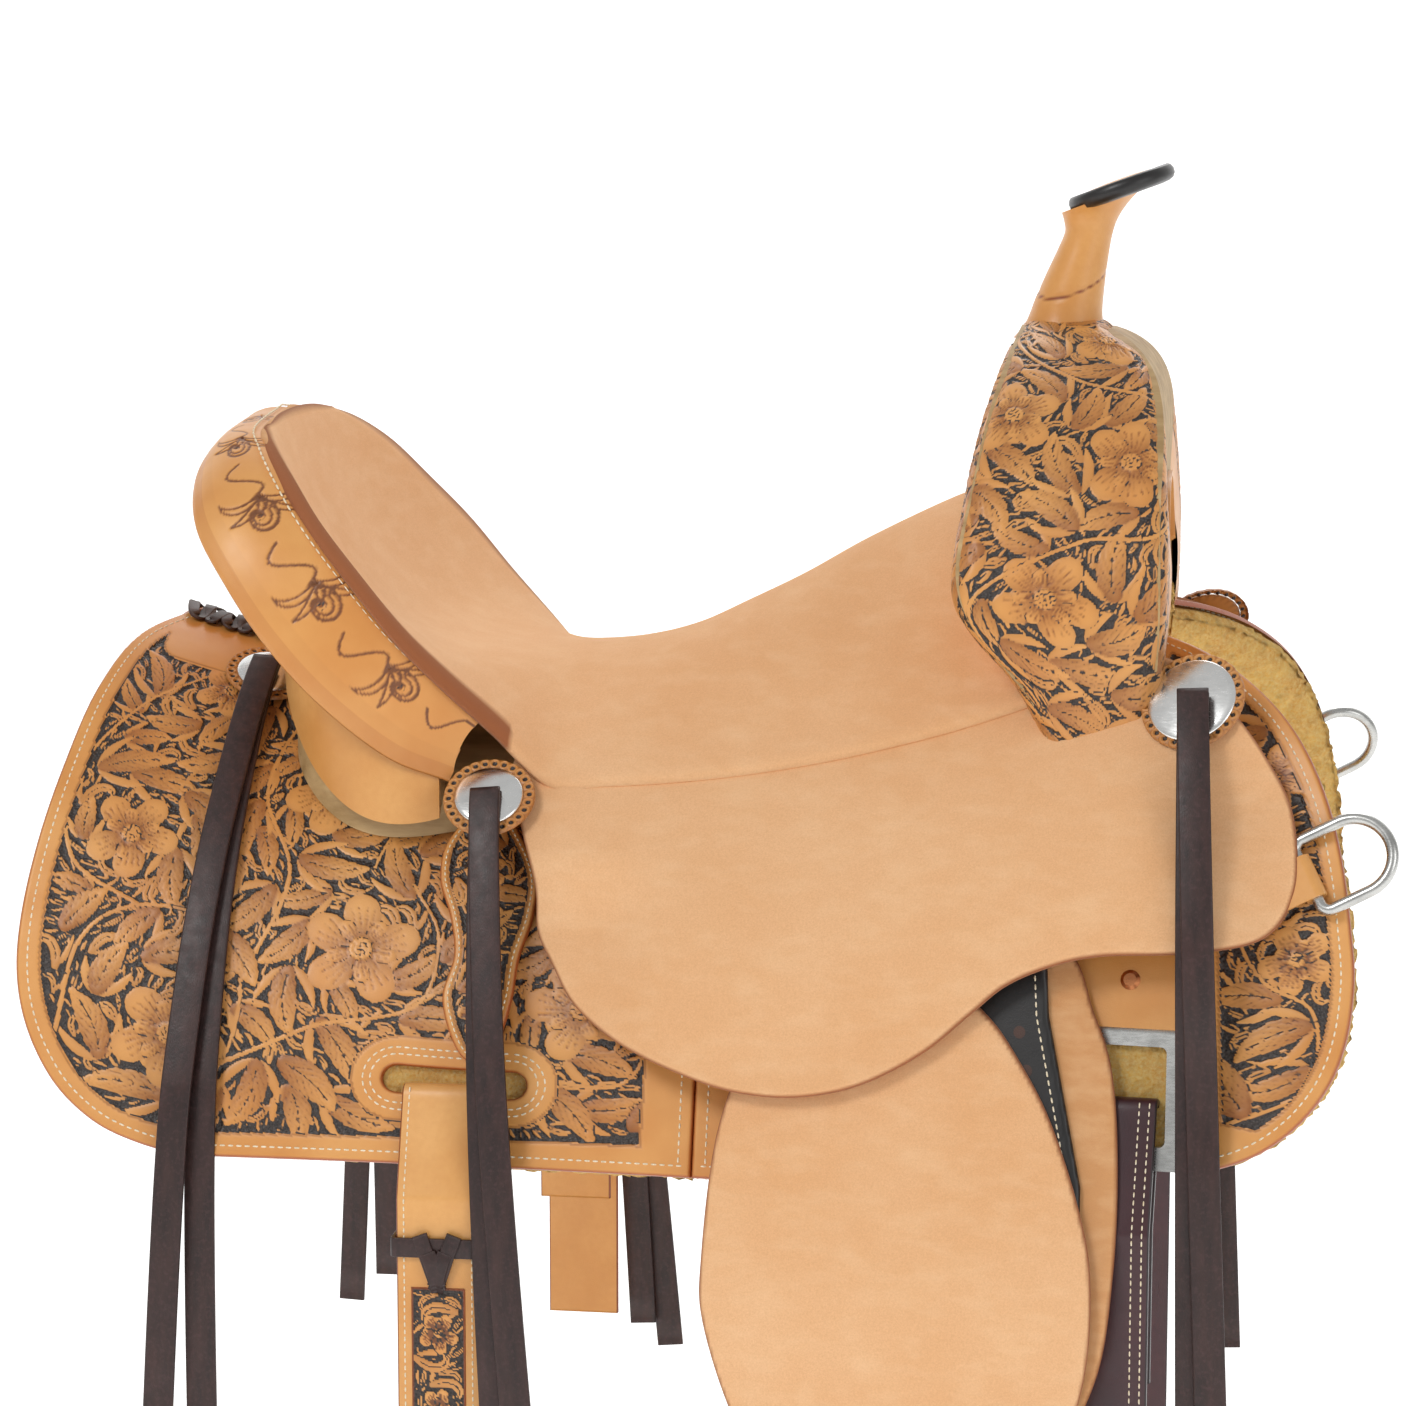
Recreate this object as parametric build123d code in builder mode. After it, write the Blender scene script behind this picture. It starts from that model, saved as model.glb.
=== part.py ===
"""Western saddle: tree, seat, skirts, rigging, fenders, stirrups and strings, as separate pieces.

Millimetres. +X is forward, +Y is the rider's left, +Z is up. The origin is on
the centre plane, level with the underside of the wool at its lowest point.
"""
import os
from math import asin, atan2, cos, degrees, hypot, pi, radians, sin, sqrt, tan

from build123d import *

# ---------------------------------------------------------------- shape of the horse's back
SPINE_X = -60.0          # lowest point of the spine line
SPINE_R = 700.0          # radius of the spine line seen from the side
SECTION_R = 280.0        # radius of the round part of the cross section
CREST_SLOPE = radians(15)
SIDE_SLOPE = radians(70)
WOOL = 14.0
SKIRT = 5.0
SPINE_Z = WOOL + SKIRT   # top of the skirt leather at the lowest point of the spine
AXIS_Z = SPINE_Z + SPINE_R
CREST_Y = SECTION_R * sin(CREST_SLOPE)
CREST_DEPTH = SECTION_R * cos(CREST_SLOPE)
SPREAD = 42.0            # half angle of every revolved band
SIDE_RUN = 160.0         # length of the straight part of the section
CHANNEL = 38.0           # half width of the open channel over the spine

# ---------------------------------------------------------------- leather and gaps
GAP = 0.4
BAR_TOP = 17.0           # top of the tree bars above the skirt
BAR_INNER = 45.0         # half width of the gap between the bars
JOCKEY_UNDER = 26.0      # underside of the seat jockeys above the skirt
SEAT_LEATHER = 4.0
JOCKEY_TOP = JOCKEY_UNDER + SEAT_LEATHER
SEAM_X = 35.0            # where the rear and front skirts meet

# ---------------------------------------------------------------- fenders and stirrups
FENDER_X = 128.0         # where the stirrup leathers swing, under the jockey
FENDER_Z = -104.0
FENDER_FLAT_Z = -160.0   # level where the leathers lie parallel to the skirt
BACKING = 2.5
STIRRUP_LEATHER = 4.0
FENDER = 3.5
STACK_START = 9.5        # innermost face of the fender stack above the skirt
STACK_STEP = 0.3
BEND_Z = -262.0          # below this the leathers hang straight down
BEND_R = 60.0
STRAP = 75.0             # stirrup leather width
BUCKLE_Z = -455.0
STIRRUP_Z = -548.0       # centre of the stirrup bolt
STIRRUP_W = 125.0
STIRRUP_H = 118.0

# ---------------------------------------------------------------- hardware
CONCHO_MID = 36.0
CONCHO_FRONT = 46.0
STRING_W = 16.0
STRING_T = 3.0

SECTION_PLANE = Plane(
    origin=(SPINE_X, 0, AXIS_Z),
    x_dir=(0, 1, 0),
    z_dir=(cos(radians(SPREAD)), 0, sin(radians(SPREAD))),
)
SPINE_AXIS = Axis((SPINE_X, 0, AXIS_Z), (0, 1, 0))


def shell_point(offset, slope):
    """Point of the right-hand section in SECTION_PLANE, at a slope angle."""
    reach = SECTION_R + offset
    return (CREST_Y - reach * sin(slope), reach * cos(slope) - CREST_DEPTH - SPINE_R)


def shell_end(offset):
    """Lowest point of the straight side of the section."""
    y, z = shell_point(offset, SIDE_SLOPE)
    return (y - SIDE_RUN * cos(SIDE_SLOPE), z - SIDE_RUN * sin(SIDE_SLOPE))


def start_slope(offset, start):
    return asin((start + CREST_Y) / (SECTION_R + offset))


def side_y(x, z, offset=0.0):
    """Half width of the shell at a place in side view, at an offset."""
    depth = hypot(x - SPINE_X, AXIS_Z - z) - SPINE_R
    reach = SECTION_R + offset
    turn_depth = CREST_DEPTH - reach * cos(SIDE_SLOPE)
    turn_y = reach * sin(SIDE_SLOPE) - CREST_Y
    if depth > turn_depth:
        return turn_y + (depth - turn_depth) / tan(SIDE_SLOPE)
    return sqrt(max(reach**2 - (CREST_DEPTH - depth) ** 2, 0.0)) - CREST_Y


def slope_at(x, z, offset=0.0):
    """Slope angle of the shell at a place in side view."""
    depth = hypot(x - SPINE_X, AXIS_Z - z) - SPINE_R
    reach = SECTION_R + offset
    return min(asin(min((side_y(x, z, offset) + CREST_Y) / reach, 1.0)), SIDE_SLOPE)


def shell_plane(x, z, offset=0.0, side=-1):
    """Plane lying on the shell: x along the horse, y up the side, z away from the horse."""
    spread = atan2(x - SPINE_X, AXIS_Z - z)
    slope = slope_at(x, z, offset)
    away = Vector(-cos(slope) * sin(spread), side * sin(slope), cos(slope) * cos(spread))
    along = Vector(cos(spread), 0, sin(spread))
    return Plane(origin=(x, side * side_y(x, z, offset), z), x_dir=along, z_dir=away)


def side_band(inner, outer, start=CHANNEL):
    """Untrimmed right-hand band of the shell between two offsets."""
    slopes = [start_slope(inner, start), start_slope(outer, start)]
    with BuildPart() as band:
        with BuildSketch(SECTION_PLANE):
            with BuildLine():
                ThreePointArc(
                    shell_point(inner, slopes[0]),
                    shell_point(inner, (slopes[0] + SIDE_SLOPE) / 2),
                    shell_point(inner, SIDE_SLOPE),
                )
                Line(shell_point(inner, SIDE_SLOPE), shell_end(inner))
                Line(shell_end(inner), shell_end(outer))
                Line(shell_end(outer), shell_point(outer, SIDE_SLOPE))
                ThreePointArc(
                    shell_point(outer, SIDE_SLOPE),
                    shell_point(outer, (slopes[1] + SIDE_SLOPE) / 2),
                    shell_point(outer, slopes[1]),
                )
                Line(shell_point(outer, slopes[1]), shell_point(inner, slopes[0]))
            make_face()
        revolve(axis=SPINE_AXIS, revolution_arc=2 * SPREAD)
    return band.part


def both_sides(part):
    """A right-hand part and its mirror image."""
    with BuildPart() as pair:
        add(part)
        mirror(part, about=Plane.XZ)
    return pair.part


def left_of(part):
    with BuildPart() as other:
        mirror(part, about=Plane.XZ)
    return other.part


# ---------------------------------------------------------------- outlines seen from the side
REAR_SKIRT = [
    (-272, 53), (-294, 43), (-305, 20), (-312, -15), (-318, -50), (-322, -86), (-322, -114),
    (-317, -137), (-307, -158), (-293, -176), (-273, -191), (-250, -200), (-228, -205),
]
FRONT_SKIRT = [
    (286, -189), (297, -190), (319, -181), (338, -166), (352, -147), (360, -125), (363, -98),
    (361, -74), (357, -46), (350, -18), (339, 7), (325, 26), (305, 42), (284, 52), (262, 58),
]
SKIRT_BOTTOM = -208.0
SKIRT_TOP = 110.0        # above the spine everywhere, so the section trims the top
CHANNEL_REAR = -226.0    # the skirts join over the spine behind this
PLATE = (205.0, 281.0, -193.0, -84.0)     # rigging plate: rear, front, bottom, top
NOTCH_TOP = -121.0
WINDOW = (215.0, 272.5, -182.0, -135.0)   # opening in the rigging plate
SLOT_X, SLOT_Z = -90.0, -167.0
SLOT_W, SLOT_H = 68.0, 14.0
JOCKEY_REAR = [
    (-70, -1), (-71, -16), (-61, -42), (-52, -64), (-50, -82), (-41, -98), (-27, -119), (0, -139),
    (37, -154), (65, -160), (93, -160), (122, -153), (152, -137), (176, -117), (193, -103),
    (215, -93), (239, -87), (278, -84), (307, -78), (322, -68), (330, -51), (331, -32),
    (327, -9), (318, 9), (305, 26), (283, 46), (262, 54),
]


def plate_notch(top):
    """Space in the front skirt and its lining where the rigging plate hangs."""
    with BuildPart() as space:
        with BuildSketch(Plane.XZ):
            with Locations(((PLATE[0] + PLATE[1]) / 2, (top - 260) / 2)):
                Rectangle(PLATE[1] - PLATE[0] + 2 * GAP, top + 260)
        extrude(amount=400)
    return space.part


def billet_slot():
    with BuildPart() as space:
        with BuildSketch(shell_plane(SLOT_X, SLOT_Z)):
            SlotOverall(SLOT_W, SLOT_H)
        extrude(amount=40, both=True)
    return space.part


def channel(half):
    """Open space over the spine, closed behind the cantle."""
    with BuildPart() as space:
        with BuildSketch(Plane.XY):
            with Locations((CHANNEL_REAR + 400, 0)):
                Rectangle(800, 2 * half)
        extrude(amount=200, both=True)
    return space.part


def rear_outline(edge_x):
    """Everything inside the rear skirt outline, up to the seam."""
    with BuildPart() as prism:
        with BuildSketch(Plane.XZ):
            with BuildLine():
                Spline(REAR_SKIRT)
                Line(REAR_SKIRT[-1], (edge_x, SKIRT_BOTTOM))
                Line((edge_x, SKIRT_BOTTOM), (edge_x, SKIRT_TOP))
                Line((edge_x, SKIRT_TOP), (REAR_SKIRT[0][0], SKIRT_TOP))
                Line((REAR_SKIRT[0][0], SKIRT_TOP), REAR_SKIRT[0])
            make_face()
        extrude(amount=400)
    return prism.part


def front_outline(edge_x):
    """Everything inside the front skirt outline, from the seam."""
    with BuildPart() as prism:
        with BuildSketch(Plane.XZ):
            with BuildLine():
                Spline(FRONT_SKIRT)
                Line(FRONT_SKIRT[-1], (FRONT_SKIRT[-1][0], SKIRT_TOP))
                Line((FRONT_SKIRT[-1][0], SKIRT_TOP), (edge_x, SKIRT_TOP))
                Line((edge_x, SKIRT_TOP), (edge_x, SKIRT_BOTTOM))
                Line((edge_x, SKIRT_BOTTOM), (PLATE[0], SKIRT_BOTTOM))
                Line((PLATE[0], SKIRT_BOTTOM), FRONT_SKIRT[0])
            make_face()
        extrude(amount=400)
    return prism.part


with BuildPart() as rear_skirt_right:
    add(side_band(-SKIRT, 0, GAP))
    add(rear_outline(SEAM_X - GAP), mode=Mode.INTERSECT)
    add(channel(CHANNEL), mode=Mode.SUBTRACT)
    add(billet_slot(), mode=Mode.SUBTRACT)

with BuildPart() as front_skirt_right:
    add(side_band(-SKIRT, 0, GAP))
    add(front_outline(SEAM_X), mode=Mode.INTERSECT)
    add(channel(CHANNEL), mode=Mode.SUBTRACT)
    add(plate_notch(PLATE[3] + GAP), mode=Mode.SUBTRACT)

with BuildPart() as wool_rear:
    add(side_band(-SKIRT - WOOL, -SKIRT, GAP))
    add(rear_outline(SEAM_X), mode=Mode.INTERSECT)
    add(channel(CHANNEL), mode=Mode.SUBTRACT)
    add(billet_slot(), mode=Mode.SUBTRACT)

with BuildPart() as wool_front:
    add(side_band(-SKIRT - WOOL, -SKIRT, GAP))
    add(front_outline(SEAM_X), mode=Mode.INTERSECT)
    add(channel(CHANNEL), mode=Mode.SUBTRACT)
    add(plate_notch(NOTCH_TOP), mode=Mode.SUBTRACT)

with BuildPart() as wool_lining_right:
    add(wool_rear.part)
    add(wool_front.part)

# ---------------------------------------------------------------- seat surface
# Each row runs from the middle of the seat out to its edge:
# (middle x, middle z, edge x, edge half width, edge z). None takes the edge from the jockeys.
SEAT_ROWS = [
    (-218, 164, -214, 74, 157),
    (-207, 136, -204, 100, 149),
    (-192, 104, -190, 122, 135),
    (-172, 74, -172, 139, 113),
    (-148, 52, -150, 149, 88),
    (-120, 40, -126, 150, 59),
    (-96, 35, -102, 144, 34),
    (-76, 34, -80, 135, 12),
    (-50, 34, -50, 130, None),
    (-20, 37, -20, 130, None),
    (10, 45, 10, 130, None),
    (40, 59, 40, 130, None),
    (70, 74, 70, 130, None),
    (105, 94, 105, 130, None),
    (150, 116, 150, 130, None),
    (178, 126, 178, 130, None),
]
DISH_POWER = 2.4
SEAT_EDGE = 130.0        # half width where the seat meets the jockeys
ACROSS = 9


def jockey_z(x, half):
    """Height of the jockeys' top face at a half width."""
    reach = SECTION_R + JOCKEY_TOP
    slope = asin((half + CREST_Y) / reach)
    radius = SPINE_R + CREST_DEPTH - reach * cos(slope)
    return AXIS_Z - sqrt(radius**2 - (x - SPINE_X) ** 2), -tan(slope)


def row_height(row, part):
    """Height at a part of the way out along one seat row."""
    mid_z, half, edge_z = row[1], row[3], row[4]
    if edge_z is not None:
        return mid_z + (edge_z - mid_z) * part**DISH_POWER
    low, fall = jockey_z(row[2], half)
    rise = fall * half
    return (
        mid_z * (2 * part**3 - 3 * part**2 + 1)
        + low * (3 * part**2 - 2 * part**3)
        + rise * (part**3 - part**2)
    )


def seat_grid():
    """Points of the seat's top face, right edge to left edge, rear to front."""
    grid = []
    for row in SEAT_ROWS:
        line = []
        for step in range(-ACROSS, ACROSS + 1):
            part = abs(step) / ACROSS
            x = row[0] + (row[2] - row[0]) * part**2
            y = row[3] * step / ACROSS
            line.append(Vector(x, y, row_height(row, part)))
        grid.append(line)
    return grid


def sunk_face(grid, sink):
    """Face through the grid, moved in along its own normals."""
    rows, columns = len(grid), len(grid[0])
    moved = []
    for i in range(rows):
        line = []
        for j in range(columns):
            ahead = grid[min(i + 1, rows - 1)][j] - grid[max(i - 1, 0)][j]
            across = grid[i][min(j + 1, columns - 1)] - grid[i][max(j - 1, 0)]
            line.append(grid[i][j] - ahead.cross(across).normalized() * sink)
        moved.append(line)
    return Face.make_surface_from_array_of_points(moved)


def seat_layer(top, thickness):
    """Layer of the seat between two depths under its top face."""
    return Solid.thicken(sunk_face(seat_grid(), top), -thickness)


def seat_space(depth, height):
    """Everything above a depth under the seat's top face."""
    with BuildPart() as space:
        extrude(sunk_face(seat_grid(), depth), amount=height, dir=(0, 0, 1))
    return space.part



# ---------------------------------------------------------------- fork, horn and gullet
FORK_PROFILE = [
    (24, 214), (60, 203), (108, 172), (146, 124), (163, 76), (161, 34), (152, -8),
]
FORK_REAR = [(182, 214), (170, 168), (163, 128), (159, 88), (171, 61), (192, 36), (206, 8)]
FORK_FRONT = [(262, -30), (266, 30), (268, 80), (267, 134), (260, 194), (236, 214)]
FORK_COVER = 3.0
GULLET_HALF = 68.0
GULLET_TOP = 132.0
GULLET_LINING = 3.0
HORN_BASE = (206, 206)
HORN_NECK_TOP = (221, 268)
HORN_TILT = 20.0
CAP_CENTRE = (236, 285)
CAP_R = 29.0
CAP_T = 8.0


def moved_in(points, inset):
    """Outline points moved to the right of their direction of travel."""
    moved = []
    for i, point in enumerate(points):
        before, after = points[max(i - 1, 0)], points[min(i + 1, len(points) - 1)]
        run, rise = after[0] - before[0], after[1] - before[1]
        length = hypot(run, rise)
        moved.append((point[0] + inset * rise / length, point[1] - inset * run / length))
    return moved


CONCHOS = {
    "mid": (-79, -27, JOCKEY_TOP + 6.0, CONCHO_MID / 2, 24.0),
    "front": (282, 32, JOCKEY_TOP + 0.4, CONCHO_FRONT / 2, 27.0),
    "rear": (-221, 21, 0.4, CONCHO_MID / 2, 24.0),
}
ROSETTE_T = 2.5
CONCHO_T = 2.0


def concho_room():
    """Space kept clear of the fork for the front conchos and their rosettes."""
    x, z, offset, _, outer = CONCHOS["front"]
    with BuildPart() as room:
        with BuildSketch(shell_plane(x, z, offset)):
            Circle(outer + GAP)
        extrude(amount=12)
    return both_sides(room.part)


def fork_blank(inset):
    """Solid block of the fork, its faces moved in by inset, before the gullet is cut."""
    profile = [(-y, z) for y, z in moved_in([(-y, z) for y, z in reversed(FORK_PROFILE)], inset)]
    profile.reverse()
    crown = (0, profile[0][1] + 3)
    other = [(-y, z) for y, z in reversed(profile)]
    rear = moved_in(list(reversed(FORK_REAR)), inset)
    front = moved_in(list(reversed(FORK_FRONT)), inset)
    with BuildPart() as blank:
        with BuildSketch(Plane.YZ.offset(120)):
            with BuildLine():
                Spline(*other, crown, *profile)
                Line(profile[-1], other[0])
            make_face()
        extrude(amount=170)
        with BuildSketch(Plane.XZ):
            with BuildLine():
                Spline(rear)
                Line(rear[0], (rear[0][0], -30))
                Line((rear[0][0], -30), front[-1])
                Spline(front)
                Line(front[0], rear[-1])
            make_face()
        extrude(amount=200, both=True, mode=Mode.INTERSECT)
    return blank.part


def gullet_space(grow):
    """Arch over the horse's withers, grown outwards."""
    half = GULLET_HALF + grow
    top = GULLET_TOP + grow
    with BuildPart() as arch:
        with BuildSketch(Plane.YZ.offset(120)):
            with BuildLine():
                ThreePointArc((-half, top - half), (0, top), (half, top - half))
                Line((half, top - half), (half + 6, -80))
                Line((half + 6, -80), (-half - 6, -80))
                Line((-half - 6, -80), (-half, top - half))
            make_face()
        extrude(amount=200)
    return arch.part


def shell_solid(top, start=0.0):
    """Both sides of everything from far under the skirts up to an offset."""
    return both_sides(side_band(-130, top, start))


def horn_plane(x, z, tilt):
    lean = radians(tilt)
    return Plane(origin=(x, 0, z), x_dir=(cos(lean), 0, sin(lean)), z_dir=(-sin(lean), 0, cos(lean)))


HORN_SECTIONS = [
    (206, 213, 2, 23.0, 21.0), (210, 230, 8, 18.5, 17.0), (215, 248, 14, 15.0, 14.5),
    (219, 262, 18, 13.5, 14.0), (228, 281, 20, 18.0, 18.0),
]


def horn_neck(inset):
    with BuildPart() as neck:
        for x, z, tilt, along, across in HORN_SECTIONS:
            with BuildSketch(horn_plane(x, z, tilt)):
                Ellipse(along - inset, across - inset)
        loft()
    return neck.part


with BuildPart() as fork_cover:
    add(fork_blank(0))
    add(fork_blank(FORK_COVER), mode=Mode.SUBTRACT)
    add(gullet_space(GULLET_LINING + GAP), mode=Mode.SUBTRACT)
    add(shell_solid(BAR_TOP + GAP, BAR_INNER - 5), mode=Mode.SUBTRACT)
    add(shell_solid(JOCKEY_TOP + GAP, GULLET_HALF - 4), mode=Mode.SUBTRACT)
    add(horn_neck(-GAP), mode=Mode.SUBTRACT)
    add(concho_room(), mode=Mode.SUBTRACT)

with BuildPart() as tree_fork:
    add(fork_blank(FORK_COVER + GAP))
    add(gullet_space(GULLET_LINING + GAP), mode=Mode.SUBTRACT)
    add(shell_solid(BAR_TOP + GAP, BAR_INNER - 5), mode=Mode.SUBTRACT)
    add(horn_neck(-GAP), mode=Mode.SUBTRACT)
    add(concho_room(), mode=Mode.SUBTRACT)

with BuildPart() as gullet_cover:
    add(gullet_space(GULLET_LINING))
    add(gullet_space(0), mode=Mode.SUBTRACT)
    add(fork_blank(1.0), mode=Mode.INTERSECT)
    add(shell_solid(BAR_TOP + GAP, BAR_INNER - 5), mode=Mode.SUBTRACT)


CAP_PLANE = horn_plane(CAP_CENTRE[0], CAP_CENTRE[1], HORN_TILT)


def cap_disc(radius, low, high):
    with BuildPart() as disc:
        with BuildSketch(CAP_PLANE.offset(low)):
            Circle(radius)
        extrude(amount=high - low)
    return disc.part


with BuildPart() as horn_core:
    add(horn_neck(3.0))
    add(cap_disc(CAP_R - 6, -CAP_T / 2, CAP_T / 2))

with BuildPart() as horn_cap_cover:
    add(cap_disc(CAP_R - 3, CAP_T / 2 + 0.1, CAP_T / 2 + 2.5))

with BuildPart() as horn_edge_binding:
    with BuildSketch(Plane(origin=CAP_PLANE.origin, x_dir=CAP_PLANE.x_dir, z_dir=-CAP_PLANE.y_dir)):
        with Locations((CAP_R - 4.5, 0)):
            RectangleRounded(9, CAP_T + 5.5, 4)
    revolve(axis=Axis(CAP_PLANE.origin, CAP_PLANE.z_dir))
    add(horn_core.part, mode=Mode.SUBTRACT)
    add(horn_cap_cover.part, mode=Mode.SUBTRACT)

with BuildPart() as horn_wrap:
    add(horn_neck(0))
    add(horn_neck(3.0), mode=Mode.SUBTRACT)
    add(cap_disc(CAP_R + 1, -CAP_T / 2, 40), mode=Mode.SUBTRACT)
    add(horn_edge_binding.part, mode=Mode.SUBTRACT)

# ---------------------------------------------------------------- tree bars and cantle
SEAT_PAD_TOP = SEAT_LEATHER + 0.2
SEAT_PAD = 5.0
GROUND_TOP = SEAT_PAD_TOP + SEAT_PAD + 0.2
GROUND_SEAT = 2.6
BAR_EDGE = [
    (-192, -66), (-188, -106), (-165, -124), (-90, -120), (0, -108), (90, -114), (180, -128),
    (235, -122), (256, -80),
]
RIM = [(218, 0), (214, 74), (204, 100), (190, 122), (172, 139), (150, 149), (126, 150), (102, 144)]


def below_seat(depth):
    """Space above a depth under the seat, to take away from what lies beneath."""
    return seat_space(depth, 260)


with BuildPart() as bar_right:
    add(side_band(GAP, BAR_TOP, BAR_INNER))
    with BuildSketch(Plane.XY):
        with BuildLine():
            Spline(BAR_EDGE)
            Line(BAR_EDGE[-1], (256, 0))
            Line((256, 0), (-192, 0))
            Line((-192, 0), BAR_EDGE[0])
        make_face()
    extrude(amount=240, both=True, mode=Mode.INTERSECT)
    add(below_seat(GROUND_TOP + GROUND_SEAT + 0.2), mode=Mode.SUBTRACT)

with BuildPart() as tree_bars:
    add(both_sides(bar_right.part))


def cantle_ring(outer, inner):
    """Wall that follows the rim in plan, between two insets from it."""
    with BuildPart() as wall:
        with BuildSketch(Plane.XY.offset(-120)):
            for inset, how in ((outer, Mode.ADD), (inner, Mode.SUBTRACT)):
                edge = [(-x + inset * cos(i / 7 * 1.5), y - inset * sin(i / 7 * 1.5))
                        for i, (x, y) in enumerate(RIM)]
                other = [(x, -y) for x, y in reversed(edge[1:])]
                with BuildSketch(mode=how):
                    with BuildLine():
                        Spline(other + edge)
                        Line(edge[-1], (-60, edge[-1][1]))
                        Line((-60, edge[-1][1]), (-60, -edge[-1][1]))
                        Line((-60, -edge[-1][1]), other[0])
                    make_face()
        extrude(amount=330)
        with BuildSketch(Plane.XZ):
            with Locations((-178, 60)):
                Rectangle(140, 280)
        extrude(amount=200, both=True, mode=Mode.INTERSECT)
    return wall.part


with BuildPart() as tree_cantle:
    add(cantle_ring(12, 34))
    add(below_seat(GROUND_TOP + GROUND_SEAT + 0.2), mode=Mode.SUBTRACT)
    add(shell_solid(BAR_TOP + GAP), mode=Mode.SUBTRACT)

with BuildPart() as cantle_back:
    add(cantle_ring(8.5, 11.6))
    add(below_seat(SEAT_LEATHER + 0.2), mode=Mode.SUBTRACT)
    add(shell_solid(BAR_TOP + GAP), mode=Mode.SUBTRACT)


# ---------------------------------------------------------------- seat
with BuildPart() as ground_seat:
    add(seat_layer(GROUND_TOP, GROUND_SEAT))
    with BuildSketch(Plane.XY):
        with Locations((-40, 0)):
            RectangleRounded(320, 230, 80)
    extrude(amount=200, both=True, mode=Mode.INTERSECT)

with BuildPart() as seat_pad:
    add(seat_layer(SEAT_PAD_TOP, SEAT_PAD))
    with BuildSketch(Plane.XY):
        with Locations((-70, 0)):
            Ellipse(118, 100)
    extrude(amount=240, both=True, mode=Mode.INTERSECT)

with BuildPart() as jockey_right:
    add(side_band(JOCKEY_UNDER, JOCKEY_TOP, SEAT_EDGE + 0.3))
    with BuildSketch(Plane.XZ):
        with BuildLine():
            Spline(JOCKEY_REAR)
            Line(JOCKEY_REAR[-1], (262, 110))
            Line((262, 110), (-70, 110))
            Line((-70, 110), JOCKEY_REAR[0])
        make_face()
    extrude(amount=400, mode=Mode.INTERSECT)
    add(fork_blank(-GAP), mode=Mode.SUBTRACT)

with BuildPart() as seat_leather:
    add(seat_layer(0, SEAT_LEATHER))
    add(fork_blank(-GAP), mode=Mode.SUBTRACT)
    add(both_sides(jockey_right.part))

# Inner edge on the rim, then outer lip, from the middle of the cantle to the seat side:
# (x, half width, z) of each.
ROLL_RIM = [
    (-218, 0, 164), (-214, 74, 157), (-204, 100, 149), (-190, 122, 135), (-172, 139, 113),
    (-150, 149, 88), (-126, 150, 59), (-102, 144, 34), (-82, 136, 14),
]
ROLL_LIP = [
    (-245, 0, 156), (-243, 70, 149), (-240, 112, 135), (-231, 142, 115), (-213, 159, 90),
    (-190, 166, 59), (-163, 162, 28), (-130, 150, -1), (-100, 139, -15),
]
ROLL_T = 5.0


def roll_face():
    """Face of the cantle roll from rim to lip, all the way round."""
    rows = []
    count = len(ROLL_RIM)
    for step in range(-count + 1, count):
        side = -1 if step < 0 else 1
        rim = Vector(*ROLL_RIM[abs(step)])
        lip = Vector(*ROLL_LIP[abs(step)])
        row = []
        for i in range(4):
            point = rim + (lip - rim) * (0.14 + 0.86 * i / 3)
            puff = 5.0 * sin(pi * i / 3)
            row.append(Vector(point.X - puff * 0.4, side * (point.Y + puff * 0.5), point.Z + puff * 0.6))
        rows.append(row)
    return Face.make_surface_from_array_of_points(rows)


with BuildPart() as cantle_roll:
    add(Solid.thicken(roll_face(), -ROLL_T))

with BuildPart() as skirt_lacing:
    add(both_sides(side_band(GAP, 4, 0)))
    with BuildSketch(Plane.XY):
        with Locations((-252, 0)):
            RectangleRounded(52, 34, 8)
    extrude(amount=200, both=True, mode=Mode.INTERSECT)

# ---------------------------------------------------------------- rigging on the skirts
PANEL = (196.0, 291.0, -126.0, -70.0)
RIVETS = [(254, -104), (224, -104), (286, -139)]


def side_rectangle(low_x, high_x, low_z, high_z):
    """Prism through the right side over a rectangle seen from the side."""
    with BuildPart() as prism:
        with BuildSketch(Plane.XZ):
            with Locations(((low_x + high_x) / 2, (low_z + high_z) / 2)):
                RectangleRounded(high_x - low_x, high_z - low_z, 3)
        extrude(amount=400)
    return prism.part


with BuildPart() as rigging_plate_right:
    add(side_band(-4, -1, GAP))
    add(side_rectangle(*PLATE), mode=Mode.INTERSECT)
    add(side_rectangle(*WINDOW), mode=Mode.SUBTRACT)
    with Locations(*[shell_plane(x, z) for x, z in RIVETS[:2]]):
        Cylinder(2.6, 40, mode=Mode.SUBTRACT)

with BuildPart() as rigging_panel_right:
    add(side_band(0.3, 2.3, GAP))
    add(side_rectangle(*PANEL), mode=Mode.INTERSECT)
    with Locations(*[shell_plane(x, z) for x, z in RIVETS[:2]]):
        Cylinder(2.6, 40, mode=Mode.SUBTRACT)


def rivet(x, z, low, head):
    """Rivet through the skirt side, its domed head at an offset."""
    base = shell_plane(x, z)
    with BuildPart() as piece:
        with BuildSketch(base.offset(low)):
            Circle(2.5)
        extrude(amount=head - low)
        with BuildSketch(base.offset(head)):
            Circle(5.0)
        extrude(amount=1.8, taper=45)
    return piece.part


with BuildPart() as rivets_right:
    for x, z in RIVETS[:2]:
        add(rivet(x, z, -4.6, 2.4))
    add(rivet(*RIVETS[2], 0.1, 0.4))

def round_leather(x, z, offset, radius, slot):
    with BuildPart() as disc:
        with BuildSketch(shell_plane(x, z, offset)):
            Circle(radius)
            RectangleRounded(slot, 8, 2, mode=Mode.SUBTRACT)
        extrude(amount=ROSETTE_T)
    return disc.part


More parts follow.
